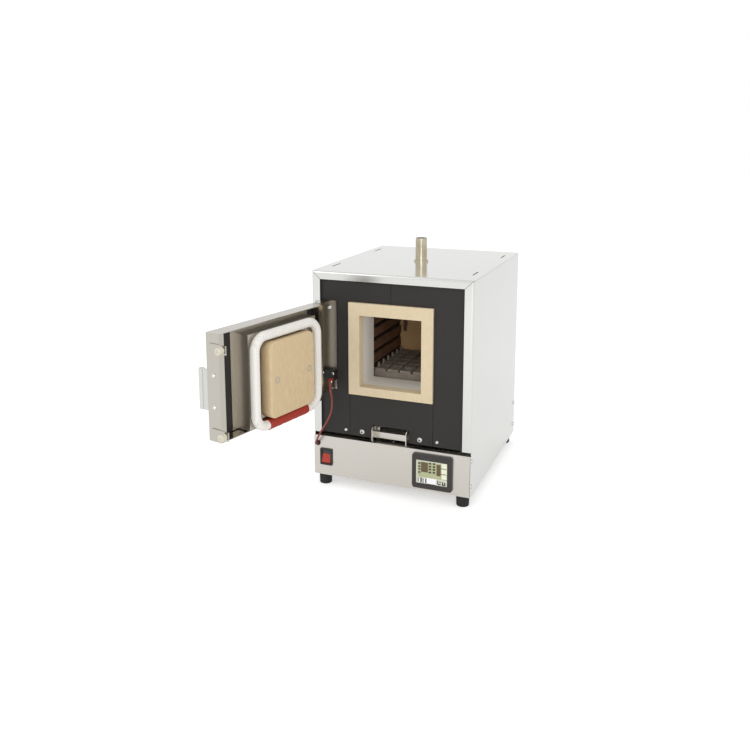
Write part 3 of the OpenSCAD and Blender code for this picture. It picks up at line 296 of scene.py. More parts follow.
def make_material(finish: Finish) -> bpy.types.Material:
    """Builds the procedural material of a finish, or finds it if it is made.

    The pattern cuts the surface by depth_mm, turns the colour towards the
    second colour in its hollows, and is a tenth duller there.

    Args:
        finish: the finish to build.

    Returns:
        The material.
    """
    found = bpy.data.materials.get("kiln_" + finish.name)
    if found:
        return found
    material = bpy.data.materials.new("kiln_" + finish.name)
    material.use_nodes = True
    tree = material.node_tree
    shader = tree.nodes["Principled BSDF"]
    colour = linear(finish.colour)
    shader.inputs["Base Color"].default_value = colour
    shader.inputs["Metallic"].default_value = finish.metallic
    shader.inputs["Specular IOR Level"].default_value = finish.sheen
    if finish.glow:
        shader.inputs["Emission Color"].default_value = colour
        shader.inputs["Emission Strength"].default_value = finish.glow
    height = pattern_height(tree, finish)
    if finish.depth_mm:
        bump = add_node(tree, "ShaderNodeBump", {"Height": height},
                        Strength=1.0, Distance=finish.depth_mm * MM)
        tree.links.new(bump.outputs["Normal"], shader.inputs["Normal"])
    polish = add_node(tree, "ShaderNodeMapRange", {"Value": height},
                      To_Min=finish.roughness * (1 + POLISH_SWING),
                      To_Max=finish.roughness * (1 - POLISH_SWING))
    tree.links.new(polish.outputs["Result"], shader.inputs["Roughness"])
    if finish.second:
        blend = add_node(tree, "ShaderNodeMix", {0: height}, data_type="RGBA")
        blend.inputs[6].default_value = linear(finish.second)
        blend.inputs[7].default_value = colour
        tree.links.new(blend.outputs[2], shader.inputs["Base Color"])
    return material


def paint_shaded_top(finish: Finish, shade_finish: Finish, edge_z: float,
             blur: float = 0.4 * MM) -> bpy.types.Material:
    """Copies a finish's material and turns it to another colour above a height, where that
    colour is painted shade.

    Args:
        finish: the finish below the edge.
        shade_finish: the finish whose dark colour is painted above the edge as shade.
        edge_z: height of the edge in the row frame, in metres.
        blur: how far the colours run together on either side, in metres.

    Returns:
        The two-coloured material.
    """
    material = make_material(finish).copy()
    material.name = "kiln_" + finish.name + "_shaded_top"
    tree = material.node_tree
    shader = tree.nodes["Principled BSDF"]
    coords = add_node(tree, "ShaderNodeTexCoord").outputs["Object"]
    split = add_node(tree, "ShaderNodeSeparateXYZ", {0: coords})
    above = add_node(tree, "ShaderNodeMapRange", {"Value": split.outputs["Z"]},
                     From_Min=edge_z - blur, From_Max=edge_z + blur)
    below = shader.inputs["Base Color"].links[0].from_socket
    blend = add_node(tree, "ShaderNodeMix",
                     {0: above.outputs["Result"], 6: below}, data_type="RGBA")
    blend.inputs[7].default_value = linear(shade_finish.colour)
    tree.links.new(blend.outputs[2], shader.inputs["Base Color"])
    return material


def dress(finish: Finish, *nodes: str) -> None:
    """Gives CAD nodes a finish.

    Args:
        finish: the finish.
        nodes: names of the CAD nodes.
    """
    for name in nodes:
        piece = frame["nodes"][name]
        piece.data.materials.clear()
        piece.data.materials.append(make_material(finish))
        LOG.info("dressed %s in %s", name, finish.name)


def place_object(name: str, data: bpy.types.ID) -> bpy.types.Object:
    """Makes an object that holds some data and links it to the scene.

    Args:
        name: the object's name.
        data: its mesh, lamp or camera.

    Returns:
        The new object.
    """
    item = bpy.data.objects.new(name, data)
    bpy.context.scene.collection.objects.link(item)
    return item


def finish_piece(mesh: bpy.types.Mesh, finish: Finish, body: str,
                 smooth: bool = True) -> bpy.types.Object:
    """Shades and dresses a mesh, and lets it ride on a body.

    Args:
        mesh: the piece's mesh, which gives the piece its name.
        finish: its finish.
        body: the CAD body that carries it.
        smooth: whether its faces are shaded smooth.

    Returns:
        The new object.
    """
    mesh.polygons.foreach_set("use_smooth", np.full(len(mesh.polygons), smooth))
    mesh.materials.append(make_material(finish))
    piece = place_object(mesh.name, mesh)
    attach(piece, body)
    LOG.info("made %s, %d faces, on %s", piece.name, len(mesh.polygons), body)
    return piece


def mesh_piece(name: str, points: np.ndarray, faces: np.ndarray, finish: Finish,
               body: str, smooth: bool = True) -> bpy.types.Object:
    """Makes a piece from points and faces, with its seams closed.

    Args:
        name: the piece's name.
        points: n by 3 array in the row frame, in metres.
        faces: m by 4 array of point numbers.
        finish: its finish.
        body: the CAD body that carries it.
        smooth: whether its faces are shaded smooth.

    Returns:
        The new object.
    """
    mesh = bpy.data.meshes.new(name)
    mesh.from_pydata(points.tolist(), [], faces.tolist())
    shell = bmesh.new()
    shell.from_mesh(mesh)
    bmesh.ops.remove_doubles(shell, verts=shell.verts, dist=WELD)
    bmesh.ops.recalc_face_normals(shell, faces=shell.faces)
    shell.to_mesh(mesh)
    shell.free()
    return finish_piece(mesh, finish, body, smooth)


def grid_faces(rows: int, columns: int, wrap_rows: bool,
               wrap_columns: bool) -> np.ndarray:
    """Numbers the quads of a grid of points stored row by row.

    Args:
        rows: points along the first parameter.
        columns: points along the second parameter.
        wrap_rows: whether the last row joins the first.
        wrap_columns: whether the last column joins the first.

    Returns:
        An array of four point numbers per quad.
    """
    i = np.arange(rows if wrap_rows else rows - 1)[:, None]
    j = np.arange(columns if wrap_columns else columns - 1)[None, :]
    i2, j2 = (i + 1) % rows, (j + 1) % columns
    quads = np.stack([i * columns + j, i * columns + j2, i2 * columns + j2,
                      i2 * columns + j], axis=-1)
    return quads.reshape(-1, 4)


def boxes_mesh(corners: np.ndarray) -> tuple[np.ndarray, np.ndarray]:
    """Points and faces of several boxes.

    Args:
        corners: n by 2 by 3 array of lowest and highest corners.

    Returns:
        The points, eight to a box, and the faces, six to a box.
    """
    pick = np.array([[(k >> a) & 1 for a in range(3)] for k in range(8)])
    points = np.stack([corners[:, pick[:, a], a] for a in range(3)], axis=-1)
    sides = np.array([[0, 2, 3, 1], [4, 5, 7, 6], [0, 1, 5, 4],
                      [2, 6, 7, 3], [0, 4, 6, 2], [1, 3, 7, 5]])
    faces = sides[None] + 8 * np.arange(len(corners))[:, None, None]
    return points.reshape(-1, 3), faces.reshape(-1, 4)


def ring_angles(count: int) -> np.ndarray:
    """Angles at equal steps round a full turn, in radians."""
    return np.linspace(0, 2 * np.pi, count, endpoint=False)


def tube_frames(path: np.ndarray, closed: bool,
                across: np.ndarray) -> tuple[np.ndarray, np.ndarray]:
    """Two unit vectors square to a path at each of its points.

    Args:
        path: n by 3 points.
        closed: whether the path joins its own start.
        across: a vector that the path never runs along.

    Returns:
        The two n by 3 arrays of unit vectors.
    """
    if closed:
        run = np.roll(path, -1, axis=0) - np.roll(path, 1, axis=0)
    else:
        run = np.gradient(path, axis=0)
    run /= np.linalg.norm(run, axis=1, keepdims=True)
    first = np.cross(run, across)
    first /= np.linalg.norm(first, axis=1, keepdims=True)
    return first, np.cross(run, first)


def tube_skin(path: np.ndarray, frames: tuple[np.ndarray, np.ndarray],
              radius: float | np.ndarray, sides: int) -> np.ndarray:
    """Skin of a tube laid along a path.

    A skin point is its path point, plus the radius times the cosine of the
    turn along the first frame vector and its sine along the second.

    Args:
        path: n by 3 points.
        frames: the two n by 3 arrays of unit vectors from tube_frames.
        radius: one radius, or an array that broadcasts to n by sides by 1.
        sides: points round the tube.

    Returns:
        An n by sides by 3 array of points.
    """
    turn = ring_angles(sides)[None, :, None]
    first, second = frames
    return path[:, None] + radius * (np.cos(turn) * first[:, None]
                                     + np.sin(turn) * second[:, None])


def spline(points: np.ndarray, steps: int) -> np.ndarray:
    """Catmull-Rom curve through points, with each span cut into equal steps.

    The value is half of 2b + (c - a)t + (2a - 5b + 4c - d)t^2
    + (3b - a - 3c + d)t^3, with end points repeated.

    Args:
        points: n by 3 points.
        steps: pieces that each span is cut into.

    Returns:
        The points of the curve.
    """
    padded = np.vstack([points[:1], points, points[-1:]])
    a, b, c, d = padded[:-3], padded[1:-2], padded[2:-1], padded[3:]
    t = (np.arange(steps) / steps)[None, :, None]
    a, b, c, d = (x[:, None, :] for x in (a, b, c, d))
    curve = 0.5 * (2 * b + (c - a) * t + (2 * a - 5 * b + 4 * c - d) * t ** 2
                   + (3 * b - a - 3 * c + d) * t ** 3)
    return np.vstack([curve.reshape(-1, 3), points[-1:]])


@dataclass
class KilnPlan:
    """Where the main lines of the kiln stand in the row frame, in metres."""

    case_low: Vector
    case_high: Vector
    hinge: Vector
    shut_turn: float

    @classmethod
    def read(cls) -> "KilnPlan":
        """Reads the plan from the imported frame."""
        low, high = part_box("top_cover")
        joint = next(j for j in frame["joints"] if j["name"] == "door_hinge")
        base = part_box("base_plate")[0].z
        return cls(Vector((low.x, low.y, base)), high, Vector(joint["pos_m"]),
                   math.radians(joint["range_deg"][1]))

    def middle_x(self) -> float:
        """Middle of the case from side to side."""
        return (self.case_low.x + self.case_high.x) / 2

    def case_point(self, x: float, y: float, z: float) -> Vector:
        """Turns mm from the front edge's middle and the case bottom into a point."""
        return Vector((self.middle_x() + x * MM, self.case_low.y + y * MM,
                       self.case_low.z + z * MM))

    def door_points(self, points: np.ndarray) -> np.ndarray:
        """Places points that are given on the shut door.

        Args:
            points: n by 3 array in metres: along the door from the hinge axis,
                towards the case, and up.

        Returns:
            The same points with the door in its open pose.
        """
        c, s = math.cos(self.shut_turn), math.sin(self.shut_turn)
        x = self.hinge.x + points[:, 0] * c + points[:, 1] * s
        y = self.hinge.y - points[:, 0] * s + points[:, 1] * c
        return np.stack([x, y, points[:, 2]], axis=-1)


@dataclass(frozen=True)
class SoftBox:
    """Square soft lamp: where it hangs, its side in metres and its watts."""

    name: str
    place: tuple[float, float, float]
    side: float
    watts: float


SOFT_BOXES = (
    SoftBox("left_soft_box", (-1.6, -1.9, 1.9), 1.4, 10),
    SoftBox("right_soft_box", (2.2, -1.0, 1.6), 1.4, 5),
    SoftBox("front_fill", (0.75, -2.0, 0.75), 1.0, 8),
)


@dataclass
class Studio:
    """Camera, lamps, white room and floor.

    Angles are in degrees, the camera's distance, slides and sensor in mm,
    focal_px and axis_row in pixels of the picture, and clip, the height that
    the lamps aim at and the floor's half side in metres.
    """

    plan: KilnPlan
    azimuth: float = 21.73
    elevation: float = 9.90
    roll: float = -0.07
    distance: float = 1601.2
    slide_right: float = 90.64
    slide_up: float = -162.27
    focal_px: float = 815.5
    axis_row: float = 275.0
    sensor: float = 36.0
    clip: tuple[float, float] = (0.05, 50.0)
    case_height: float = 385.0
    lamp_aim_height: float = 0.2
    room_light: float = 0.72
    floor_half_side: float = 6.0
    floor_grey: float = 0.93
    floor_roughness: float = 0.9
    floor_glow: float = 0.42
    floor_glow_mirrored: float = 0.3

    def camera(self) -> None:
        """Sets the photograph's camera.

        The lens axis meets the picture at row axis_row, so the sensor is
        shifted; slide_right and slide_up move the camera off the line
        through the middle of the case, in mm.
        """
        a, e = math.radians(self.azimuth), math.radians(self.elevation)
        back = Vector((math.sin(a) * math.cos(e), -math.cos(a) * math.cos(e),
                       math.sin(e)))
        right = (-back).cross(Vector((0, 0, 1))).normalized()
        up = right.cross(-back)
        r = math.radians(self.roll)
        right, up = (math.cos(r) * right + math.sin(r) * up,
                     math.cos(r) * up - math.sin(r) * right)
        depth = (self.plan.case_high.y - self.plan.case_low.y) / MM
        aim = self.plan.case_point(0, depth / 2, self.case_height / 2)
        place = aim + MM * (self.distance * back - self.slide_right * right
                            - self.slide_up * up)
        data = bpy.data.cameras.new("photo_camera")
        data.sensor_width = self.sensor
        data.lens = self.sensor * self.focal_px / IMAGE_SIDE
        data.shift_y = (self.axis_row - IMAGE_SIDE / 2) / IMAGE_SIDE
        data.clip_start, data.clip_end = self.clip
        camera = place_object("photo_camera", data)
        turn = Matrix((right, up, back)).transposed()
        camera.matrix_world = Matrix.Translation(place) @ turn.to_4x4()
        bpy.context.scene.camera = camera

    def lamp(self, box: SoftBox) -> None:
        """Hangs a soft lamp that points at the kiln.

        Args:
            box: the lamp's place, side and power.
        """
        data = bpy.data.lights.new(box.name, "AREA")
        data.size, data.energy = box.side, box.watts
        lamp = place_object(box.name, data)
        lamp.location = box.place
        aim = Vector((0, 0, self.lamp_aim_height)) - Vector(box.place)
        lamp.rotation_euler = aim.to_track_quat("-Z", "Y").to_euler()

    def room(self) -> None:
        """White room: white to the eye, and softly lit from all round."""
        world = bpy.data.worlds.new("white_room")
        bpy.context.scene.world = world
        world.use_nodes = True
        tree = world.node_tree
        tree.nodes.clear()
        seen = add_node(tree, "ShaderNodeLightPath")
        either = add_node(tree, "ShaderNodeMath",
                          {0: seen.outputs["Is Camera Ray"],
                           1: seen.outputs["Is Glossy Ray"]}, operation="MAXIMUM")
        white = add_node(tree, "ShaderNodeMath",
                         {0: either.outputs[0],
                          1: seen.outputs["Is Transmission Ray"]}, operation="MAXIMUM")
        lit = add_node(tree, "ShaderNodeBackground", Color=(1, 1, 1, 1),
                       Strength=self.room_light)
        plain = add_node(tree, "ShaderNodeBackground", Color=(1, 1, 1, 1), Strength=1.0)
        mix = add_node(tree, "ShaderNodeMixShader",
                       {0: white.outputs[0], 1: lit.outputs[0], 2: plain.outputs[0]})
        add_node(tree, "ShaderNodeOutputWorld", {0: mix.outputs[0]})

    def floor(self) -> None:
        """White bench top that keeps the kiln's shadow and shows white elsewhere."""
        far, grey = self.floor_half_side, self.floor_grey
        mesh = bpy.data.meshes.new("bench_top")
        corners = [(-far, -far, 0), (far, -far, 0), (far, far, 0), (-far, far, 0)]
        mesh.from_pydata(corners, [], [(0, 1, 2, 3)])
        bench = place_object("bench_top", mesh)
        material = bpy.data.materials.new("bench_white")
        material.use_nodes = True
        tree = material.node_tree
        shader = tree.nodes["Principled BSDF"]
        shader.inputs["Base Color"].default_value = (grey, grey, grey, 1)
        shader.inputs["Roughness"].default_value = self.floor_roughness
        seen = add_node(tree, "ShaderNodeLightPath")
        direct = add_node(tree, "ShaderNodeMath", {0: seen.outputs["Is Camera Ray"]},
                          operation="MULTIPLY")
        direct.inputs[1].default_value = self.floor_glow
        mirrored = add_node(tree, "ShaderNodeMath", {0: seen.outputs["Is Glossy Ray"]},
                            operation="MULTIPLY")
        mirrored.inputs[1].default_value = self.floor_glow_mirrored
        glow = add_node(tree, "ShaderNodeMath",
                        {0: direct.outputs[0], 1: mirrored.outputs[0]},
                        operation="MAXIMUM")
        tree.links.new(glow.outputs[0], shader.inputs["Emission Strength"])
        shader.inputs["Emission Color"].default_value = (1, 1, 1, 1)
        mesh.materials.append(material)

    def build(self) -> None:
        """Sets the camera, the room, the floor and the lamps."""
        self.camera()
        self.room()
        self.floor()
        for box in SOFT_BOXES:
            self.lamp(box)
        bpy.context.scene.view_settings.view_transform = "Standard"


@dataclass
class SwitchLead:
    """Red lead that hangs from the door switch to the control panel.

    Sizes are in mm.  The route repeats the lead's points in the CAD source.
    """

    plan: KilnPlan
    diameter: float = 3.2
    sides: int = 16
    steps: int = 8
    switch_half_height: float = 5.5
    boot_points: int = 14
    boot_top: float = 2.9
    boot_foot: float = 2.0
    boot_ripple: float = 0.15
    ripple_turn: float = 12.0
    boot_tuck: float = 0.2

    def route(self) -> np.ndarray:
        """Finds the lead's route from the switch body to behind the panel.

        The fall is given from the middle of the switch body's back, and the
        end from the middle of the grommet.

        Returns:
            The route's points, in metres.
        """
        grommet_low, grommet_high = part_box("lead_grommet")
        body_low, body_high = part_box("door_switch_body")
        lead_x = (grommet_low.x + grommet_high.x) / 2 / MM
        lead_z = (grommet_low.z + grommet_high.z) / 2 / MM
        back_y = body_high.y / MM
        front = self.plan.case_low.y / MM
        switch = np.array([(body_low.x + body_high.x) / 2 / MM, back_y,
                           body_high.z / MM - self.switch_half_height])
        fall = switch + np.array([
            (1, -7, -13.7), (2, -8, -26), (7, -10, -50), (6, -12, -72),
            (-2, -15, -92), (-13, -18, -112), (-21, -18, -128)])
        end = np.array([(lead_x + 1, back_y - 14, lead_z + 3),
                        (lead_x, back_y - 8, lead_z), (lead_x, front + 6, lead_z)])
        return np.vstack([fall, end]) * MM

    def build(self) -> None:
        path = spline(self.route(), self.steps)
        frames = tube_frames(path, False, np.array([1.0, 0.2, 0.0]))
        skin = tube_skin(path, frames, self.diameter / 2 * MM, self.sides)
        rows = len(path)
        points = np.vstack([skin.reshape(-1, 3), path[:1], path[-1:]])
        faces = grid_faces(rows, self.sides, False, True).tolist()
        hub = rows * self.sides
        for start, middle in ((0, hub), ((rows - 1) * self.sides, hub + 1)):
            faces += [(start + k, start + (k + 1) % self.sides, middle)
                      for k in range(self.sides)]
        mesh = bpy.data.meshes.new("red_switch_lead")
        mesh.from_pydata(points.tolist(), [], faces)
        lead = finish_piece(mesh, SILICONE_RED, "case")
        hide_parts("door_switch_lead")
        self.boot(path, frames)

    def boot(self, path: np.ndarray, frames: tuple[np.ndarray, np.ndarray]) -> None:
        """Shrunk sleeve over the lead's top end, fatter where it meets the switch.

        Its radius falls from boot_top to just above the lead's own, with two
        ripples, and both of its ends turn in to the lead.

        Args:
            path: the lead's centre line.
            frames: unit vectors square to the path.
        """
        t = np.linspace(0, 1, self.boot_points)
        radius = (self.boot_top + (self.boot_foot - self.boot_top) * t
                  + self.boot_ripple * np.sin(self.ripple_turn * t))
        radius[[0, -1]] = self.diameter / 2 - self.boot_tuck
        span = slice(1, self.boot_points + 1)
        skin = tube_skin(path[span], (frames[0][span], frames[1][span]),
                         MM * radius[:, None, None], self.sides)
        mesh_piece("lead_boot", skin.reshape(-1, 3),
                   grid_faces(self.boot_points, self.sides, False, True),
                   SILICONE_RED, "case")


@dataclass
class Casing:
    """Outer case: covers, plates, feet and their screws.  Sizes are in mm."""

    socket_across: float = 3.4
    socket_proud: float = 0.1
    socket_depth: float = 1.2
    head_limit: float = 20.0

    def build(self) -> None:
        """Dresses the outer case."""
        dress(BRIGHT_STAINLESS, "top_cover", "side_panel_left", "side_panel_right")
        dress(PANEL_STAINLESS, "control_panel", "air_damper")
        dress(INNER_STAINLESS, "rear_panel", "base_plate", "divider_plate", "air_duct")
        dress(BLACK_COATING, "front_plate_left", "front_plate_right", "front_plate_lower")
        dress(FLUE_STAINLESS, "flue_pipe", "flue_collar")
        dress(PLATED_SCREW, "front_plate_screws", "duct_screws", "side_screws",
              "foot_screws")
        dress(MOULDED_RUBBER, "feet")
        self.sockets()

    def sockets(self) -> None:
        """Six-sided keyways in the two button screws.

        Each is a skin over two rings of six corners, with both of its ends
        drawn in to the middle.
        """
        low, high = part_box("duct_screws")
        head = min(high.z - low.z, self.head_limit * MM) / 2
        turn = np.arange(6) * np.pi / 3
        ring = self.socket_across / 2 * MM / math.cos(math.pi / 6)
        front = low.y - self.socket_proud * MM
        back = front + self.socket_depth * MM
        reach = np.array([0.0, ring, ring, 0.0])[:, None]
        y = np.broadcast_to([[front], [front], [back], [back]], (4, 6))
        middles = {"left": (low.x + head, low.z + head),
                   "right": (high.x - head, high.z - head)}
        for side, (x, z) in middles.items():
            grid = np.stack([x + reach * np.cos(turn), y, z + reach * np.sin(turn)],
                            axis=-1)
            mesh_piece("button_socket_" + side, grid.reshape(-1, 3),
                       grid_faces(4, 6, False, True), SCREW_SOCKET, "case", smooth=False)


@dataclass
class HotBox:
    """Fibre frame, throat, chamber boards, elements and floor grid."""

    def build(self) -> None:
        """Dresses the insulated chamber."""
        dress(FIBRE_BOARD, "chamber_frame")
        dress(WHITE_FIBRE, "throat_liner")
        dress(WALL_BOARD, "chamber_floor", "chamber_roof", "chamber_wall_left",
              "chamber_wall_right")
        dress(REAR_BOARD, "chamber_wall_rear")
        dress(BACKING_FIBRE, "insulation_boards")
        dress(KILN_SHELF, "floor_grid")
        dress(ELEMENT_ROD, "element_rods_left", "element_rods_right")
        dress(MACHINED_BRASS, "element_clamps")
        dress(HOT_SHEATH, "thermocouple")


@dataclass
class Controls:
    """Mains switch, display and the electronics behind the panel.

    Depths are in mm in front of the display's face; unshaded_share is the part of the rocker's
    height that shows red.  Above it the rocker's tilted-in top is painted the bezel's dark
    colour, as painted shade.
    """

    sunk: float = 0.05
    lift: float = 0.15
    block_depth: float = 0.3
    unshaded_share: float = 0.7

    def mark(self, name: str, rects: list[tuple[float, float, float, float]],
             finish: Finish, layer: int = 0) -> None:
        """Lays flat blocks on the display.

        Args:
            name: the piece's name.
            rects: left, right, bottom and top of each block, as parts of the
                display's width and height.
            finish: the blocks' finish.
            layer: 0 for a ground block, 1 for a mark on top of it.
        """
        low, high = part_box("controller_screen")
        parts = np.array(rects)
        x = low.x + parts[:, :2] * (high.x - low.x)
        z = low.z + parts[:, 2:] * (high.z - low.z)
        front = low.y - (self.lift + self.block_depth * (layer + 1)) * MM
        back = low.y - (self.sunk + self.block_depth * layer) * MM
        y = np.broadcast_to([front, back], x.shape)
        corners = np.stack([x, y, z], axis=-1)
        points, faces = boxes_mesh(corners)
        mesh_piece(name, points, faces, finish, "case", smooth=False)

    def display(self) -> None:
        """Draws generic blocks, keys and bars on the lit display."""
        self.mark("display_edges",
                  [(0.0, 0.05, 0.0, 1.0), (0.05, 0.8, 0.95, 1.0),
                   (0.05, 0.34, 0.0, 0.27), (0.64, 1.0, 0.0, 0.27)], DISPLAY_EDGE)
        self.mark("display_main_blocks",
                  [(0.16, 0.38, 0.5, 0.92), (0.66, 0.79, 0.42, 0.9)], DISPLAY_BROWN)
        left_rows = [(0.07, 0.14, z, z + 0.055) for z in (0.44, 0.58, 0.7, 0.83)]
        middle = [(x, x + 0.075, z, z + 0.065)
                  for x, lift in ((0.41, 0.0), (0.54, 0.01)) for z in
                  (0.49 + lift, 0.62 + lift, 0.74 + lift, 0.87 + lift)]
        low_rows = [(0.06, 0.085, 0.05, 0.24), (0.14, 0.185, 0.04, 0.24),
                    (0.22, 0.245, 0.03, 0.22), (0.3, 0.335, 0.03, 0.22),
                    (0.69, 0.72, 0.05, 0.22), (0.72, 0.8, 0.04, 0.09),
                    (0.76, 0.8, 0.13, 0.2), (0.84, 0.88, 0.03, 0.19),
                    (0.91, 0.95, 0.03, 0.17), (0.88, 0.91, 0.03, 0.07)]
        self.mark("display_field", [(0.345, 0.64, 0.02, 0.26)], DISPLAY_WHITE)
        self.mark("display_small_keys",
                  [(0.09, 0.135, 0.06, 0.22), (0.25, 0.295, 0.04, 0.2)],
                  DISPLAY_WHITE, 1)
        self.mark("display_right_keys",
                  [(0.82, 0.99, 0.77, 0.98), (0.82, 0.99, 0.53, 0.74),
                   (0.82, 0.99, 0.3, 0.5)], DISPLAY_CREAM)
        key_bars = [(0.8, 0.95, z, z + 0.022) for z in (0.745, 0.507)]
        self.mark("display_ink_marks", left_rows + middle + low_rows + key_bars,
                  DISPLAY_INK, 1)

    def build(self) -> None:
        """Dresses the controls and draws the display."""
        dress(BLACK_MOULDING, "switch_bezel", "controller_housing",
              "solid_state_relay", "mains_inlet")
        dress(BEZEL_MOULDING, "controller_bezel")
        dress(DISPLAY_FACE, "controller_screen")
        dress(RED_ROCKER, "power_rocker")
        # The rocker's tilted-in top is painted the bezel's dark colour as painted shade; below
        # it the rocker keeps its red.
        low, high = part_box("power_rocker")
        rocker = frame["nodes"]["power_rocker"]
        rocker.data.materials[0] = paint_shaded_top(RED_ROCKER, BEZEL_MOULDING,
                                            low.z + self.unshaded_share * (high.z - low.z))
        dress(CREAM_MOULDING, "terminal_block")
        dress(ALUMINIUM, "relay_heatsink")
        self.display()


@dataclass
class DoorGasket:
    """Braided rope round the plug, with a red sleeve over its lower run.

    Sizes are in mm: width and height are the outside of the rope's loop, inset
    is from there to its centre line, and along and out are measured on the
    shut door from the hinge axis.
    """

    plan: KilnPlan
    width: float = 168.0
    height: float = 160.0
    corner: float = 30.0
    inset: float = 7.0
    rope: float = 15.6
    centre_out: float = 30.9
    centre_along: float = 120.0
    rope_rows: int = 900
    rope_columns: int = 40
    strands: int = 5
    braid_pitch: float = 11.0
    braid_lift: float = 0.018
    sleeve_start: float = 75.5
    sleeve_length: float = 96.0
    sleeve_rows: int = 120
    sleeve_columns: int = 56
    sleeve_half_tall: float = 8.9
    sleeve_half_deep: float = 7.95
    sleeve_deep_limit: float = 8.0
    wall_tall: float = 1.2
    wall_deep: float = 0.25
    wrinkle_deep: float = 0.4
    # Wrinkles: height in mm, radians along, waves round, and start.
    wrinkles: tuple[tuple[float, int, int, int], ...] = (
        (0.18, 47, 2, 0), (0.14, 29, -3, 1), (0.1, 83, 1, 0))

    def centre_z(self) -> float:
        """Height of the loop's centre, in mm."""
        low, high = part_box("gasket_rope")
        return (low.z + high.z) / 2 / MM

    def loop(self, points: int) -> tuple[np.ndarray, np.ndarray]:
        """Centre line of the rope: four straights and four quarter turns.

        Args:
            points: points round the loop, at equal steps.

        Returns:
            The points in mm, along, out and up, and their distances.
        """
        radius = self.corner - self.inset
        half_w = self.width / 2 - self.inset - radius
        half_h = self.height / 2 - self.inset - radius
        quarter = np.pi / 2 * radius
        lengths = np.array([quarter, 2 * half_w, quarter, 2 * half_h] * 2)
        ends = np.concatenate([[0], np.cumsum(lengths)])
        s = np.linspace(0, ends[-1], points, endpoint=False)
        span = np.searchsorted(ends, s, side="right") - 1
        t = (s - ends[span]) / lengths[span]
        turn, bend = span // 2, span % 2 == 0
        angle = np.pi / 2 * (turn + np.where(bend, t, 1.0))
        run = np.where(bend, 0.0, t * lengths[span])
        x = (np.array([1, -1, -1, 1])[turn] * half_w
             + radius * np.cos(angle) - run * np.sin(angle))
        z = (np.array([1, 1, -1, -1])[turn] * half_h
             + radius * np.sin(angle) + run * np.cos(angle))
        line = np.stack([self.centre_along + x, np.full(points, self.centre_out),
                         self.centre_z() + z], axis=-1)
        return line, s

    def rope_piece(self) -> None:
        """Rope whose radius rises and falls with the crossing of its strands.

        The lift is the root of the product of two sines, one for the strands
        that run to the left round the rope and one for those to the right.
        """
        line, s = self.loop(self.rope_rows)
        path = line * MM
        frames = tube_frames(path, True, np.array([0.0, 1.0, 0.0]))
        turn = ring_angles(self.rope_columns)[None, :]
        run = 2 * np.pi * s[:, None] / self.braid_pitch
        lay = np.abs(np.sin((run + self.strands * turn) / 2)
                     * np.sin((run - self.strands * turn) / 2))
        lift = 1 - self.braid_lift + self.braid_lift * np.sqrt(lay)
        radius = self.rope / 2 * lift * MM
        skin = tube_skin(path, frames, radius[:, :, None], self.rope_columns)
        rope = mesh_piece("braided_gasket",
                          self.plan.door_points(skin.reshape(-1, 3)),
                          grid_faces(self.rope_rows, self.rope_columns, True, True),
                          ROPE_WHITE, "door")
        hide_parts("gasket_rope")

    def sleeve_piece(self) -> None:
        """Sleeve of oval section, a little slack, rolled in at both ends.

        Its profile runs out along the sleeve, round its lip, back inside and
        round the other lip.  The outside is an oval whose size wavers by the
        sum of three slanted sines, and the inside is the same oval less the
        sleeve's wall.
        """
        t = np.linspace(0, 1, self.sleeve_rows)
        turn = ring_angles(self.sleeve_columns)[None, :]
        stops = [0.0, 0.46, 0.5, 0.96, 1.0]
        along = np.interp(t, stops, [0, 1, 1, 0, 0])[:, None]
        inside = np.interp(t, stops, [0, 0, 1, 1, 0])[:, None]
        wrinkle = sum(size * np.sin(along * run + turns * turn + start)
                      for size, run, turns, start in self.wrinkles) * (1 - inside)
        tall = self.sleeve_half_tall - self.wall_tall * inside + wrinkle
        deep = np.minimum(self.sleeve_half_deep - self.wall_deep * inside
                          + self.wrinkle_deep * wrinkle, self.sleeve_deep_limit)
        length = self.sleeve_start + self.sleeve_length * along
        base_z = self.centre_z() - self.height / 2 + self.inset
        points = np.stack([np.broadcast_to(length, tall.shape),
                           self.centre_out + deep * np.sin(turn),
                           base_z + tall * np.cos(turn)], axis=-1)
        sleeve = mesh_piece("red_sleeve",
                            self.plan.door_points(points.reshape(-1, 3) * MM),
                            grid_faces(self.sleeve_rows, self.sleeve_columns, True, True),
                            SLEEVE_RED, "door")
        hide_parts("gasket_sleeve")

    def build(self) -> None:
        """Makes the rope and its sleeve."""
        self.rope_piece()
        self.sleeve_piece()


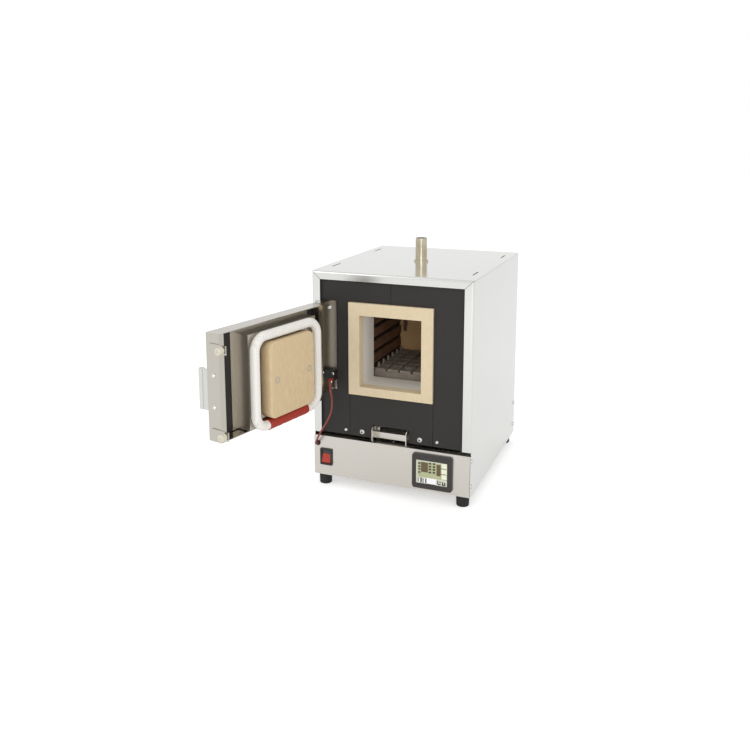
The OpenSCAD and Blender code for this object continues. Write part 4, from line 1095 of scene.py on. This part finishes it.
@dataclass
class DoorPlug:
    """Fibre plug with softened front edges.

    Sizes are in mm; along and out are measured on the shut door from the
    hinge axis.
    """

    plan: KilnPlan
    width: float = 110.0
    height: float = 125.0
    corner: float = 13.0
    least_corner: float = 1.0
    edge: float = 4.0
    edge_steps: int = 7
    columns: int = 96
    back_out: float = 21.8
    front_out: float = 44.0
    centre_along: float = 120.0
    back_insets: tuple[float, ...] = (40.0, 0.0)
    front_insets: tuple[float, ...] = (12.0, 30.0, 45.0)

    def outline(self, inset: np.ndarray) -> tuple[np.ndarray, np.ndarray]:
        """Rounded oblongs, drawn in by several insets.

        Args:
            inset: how far each oblong is drawn in, in mm, as a column.

        Returns:
            Two arrays, along and up about the centre, one row to an oblong.
        """
        radius = np.maximum(self.corner - inset, self.least_corner)
        turn = ring_angles(self.columns)[None, :]
        side_x = np.sign(np.cos(turn)) * (self.width / 2 - inset - radius)
        side_z = np.sign(np.sin(turn)) * (self.height / 2 - inset - radius)
        return side_x + radius * np.cos(turn), side_z + radius * np.sin(turn)

    def build(self) -> None:
        """Carries the outline along a profile with a quarter-round front edge."""
        low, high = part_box("door_plug")
        middle = (low.z + high.z) / 2 / MM
        bend = np.linspace(0, np.pi / 2, self.edge_steps)
        insets = np.concatenate([self.back_insets, self.edge * (1 - np.cos(bend)),
                                 self.front_insets])
        outs = np.concatenate([np.full(len(self.back_insets), self.back_out),
                               self.front_out - self.edge * (1 - np.sin(bend)),
                               np.full(len(self.front_insets), self.front_out)])
        x, z = self.outline(insets[:, None])
        y = np.broadcast_to(outs[:, None], x.shape)
        rings = np.stack([self.centre_along + x, y, middle + z], axis=-1)
        hubs = np.array([[self.centre_along, out, middle]
                         for out in (self.back_out, self.front_out)])
        ends = np.repeat(hubs[:, None, None], self.columns, axis=2)
        grid = np.concatenate([ends[0], rings, ends[1]])
        points = self.plan.door_points(grid.reshape(-1, 3) * MM)
        plug = mesh_piece("fibre_plug", points,
                          grid_faces(len(grid), self.columns, False, True),
                          PLUG_BOARD, "door")
        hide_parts("door_plug")


@dataclass
class Door:
    """Door tray, liner, gasket, plug, handle and hinge."""

    plan: KilnPlan

    def build(self) -> None:
        """Dresses the door and makes its soft pieces."""
        dress(DOOR_STAINLESS, "door_tray", "catch_bracket")
        dress(LINER_STAINLESS, "door_liner")
        dress(BLACK_COATING, "door_board")
        dress(BACKING_FIBRE, "door_insulation")
        dress(PLUG_BOARD, "door_plug")
        dress(PIN_CERAMIC, "plug_pins")
        dress(HANDLE_GREY, "door_handle")
        dress(CREAM_CERAMIC, "catch_posts")
        dress(BRACKET_STAINLESS, "hinge_bracket")
        dress(PLATED_SCREW, "handle_screws", "bracket_screws", "hinge_bolts")
        dress(ROPE_WHITE, "gasket_rope")
        dress(SLEEVE_RED, "gasket_sleeve")
        DoorGasket(self.plan).build()
        DoorPlug(self.plan).build()


@dataclass
class DoorSwitch:
    """Door switch on the hinge bracket."""

    def build(self) -> None:
        """Dresses the switch, its plunger and the lead's grommet."""
        dress(BLACK_MOULDING, "door_switch_body")
        dress(RED_ROCKER, "door_switch_plunger")
        dress(SILICONE_RED, "door_switch_lead")
        dress(MOULDED_RUBBER, "lead_grommet")


def main() -> None:
    logging.basicConfig(level=logging.INFO, format="%(name)s: %(message)s")
    plan = KilnPlan.read()
    Studio(plan).build()
    SwitchLead(plan).build()
    for part in (Casing(), HotBox(), Controls(), DoorSwitch(), Door(plan)):
        part.build()
        LOG.info("%s done", type(part).__name__)


if __name__ == "__main__":
    main()
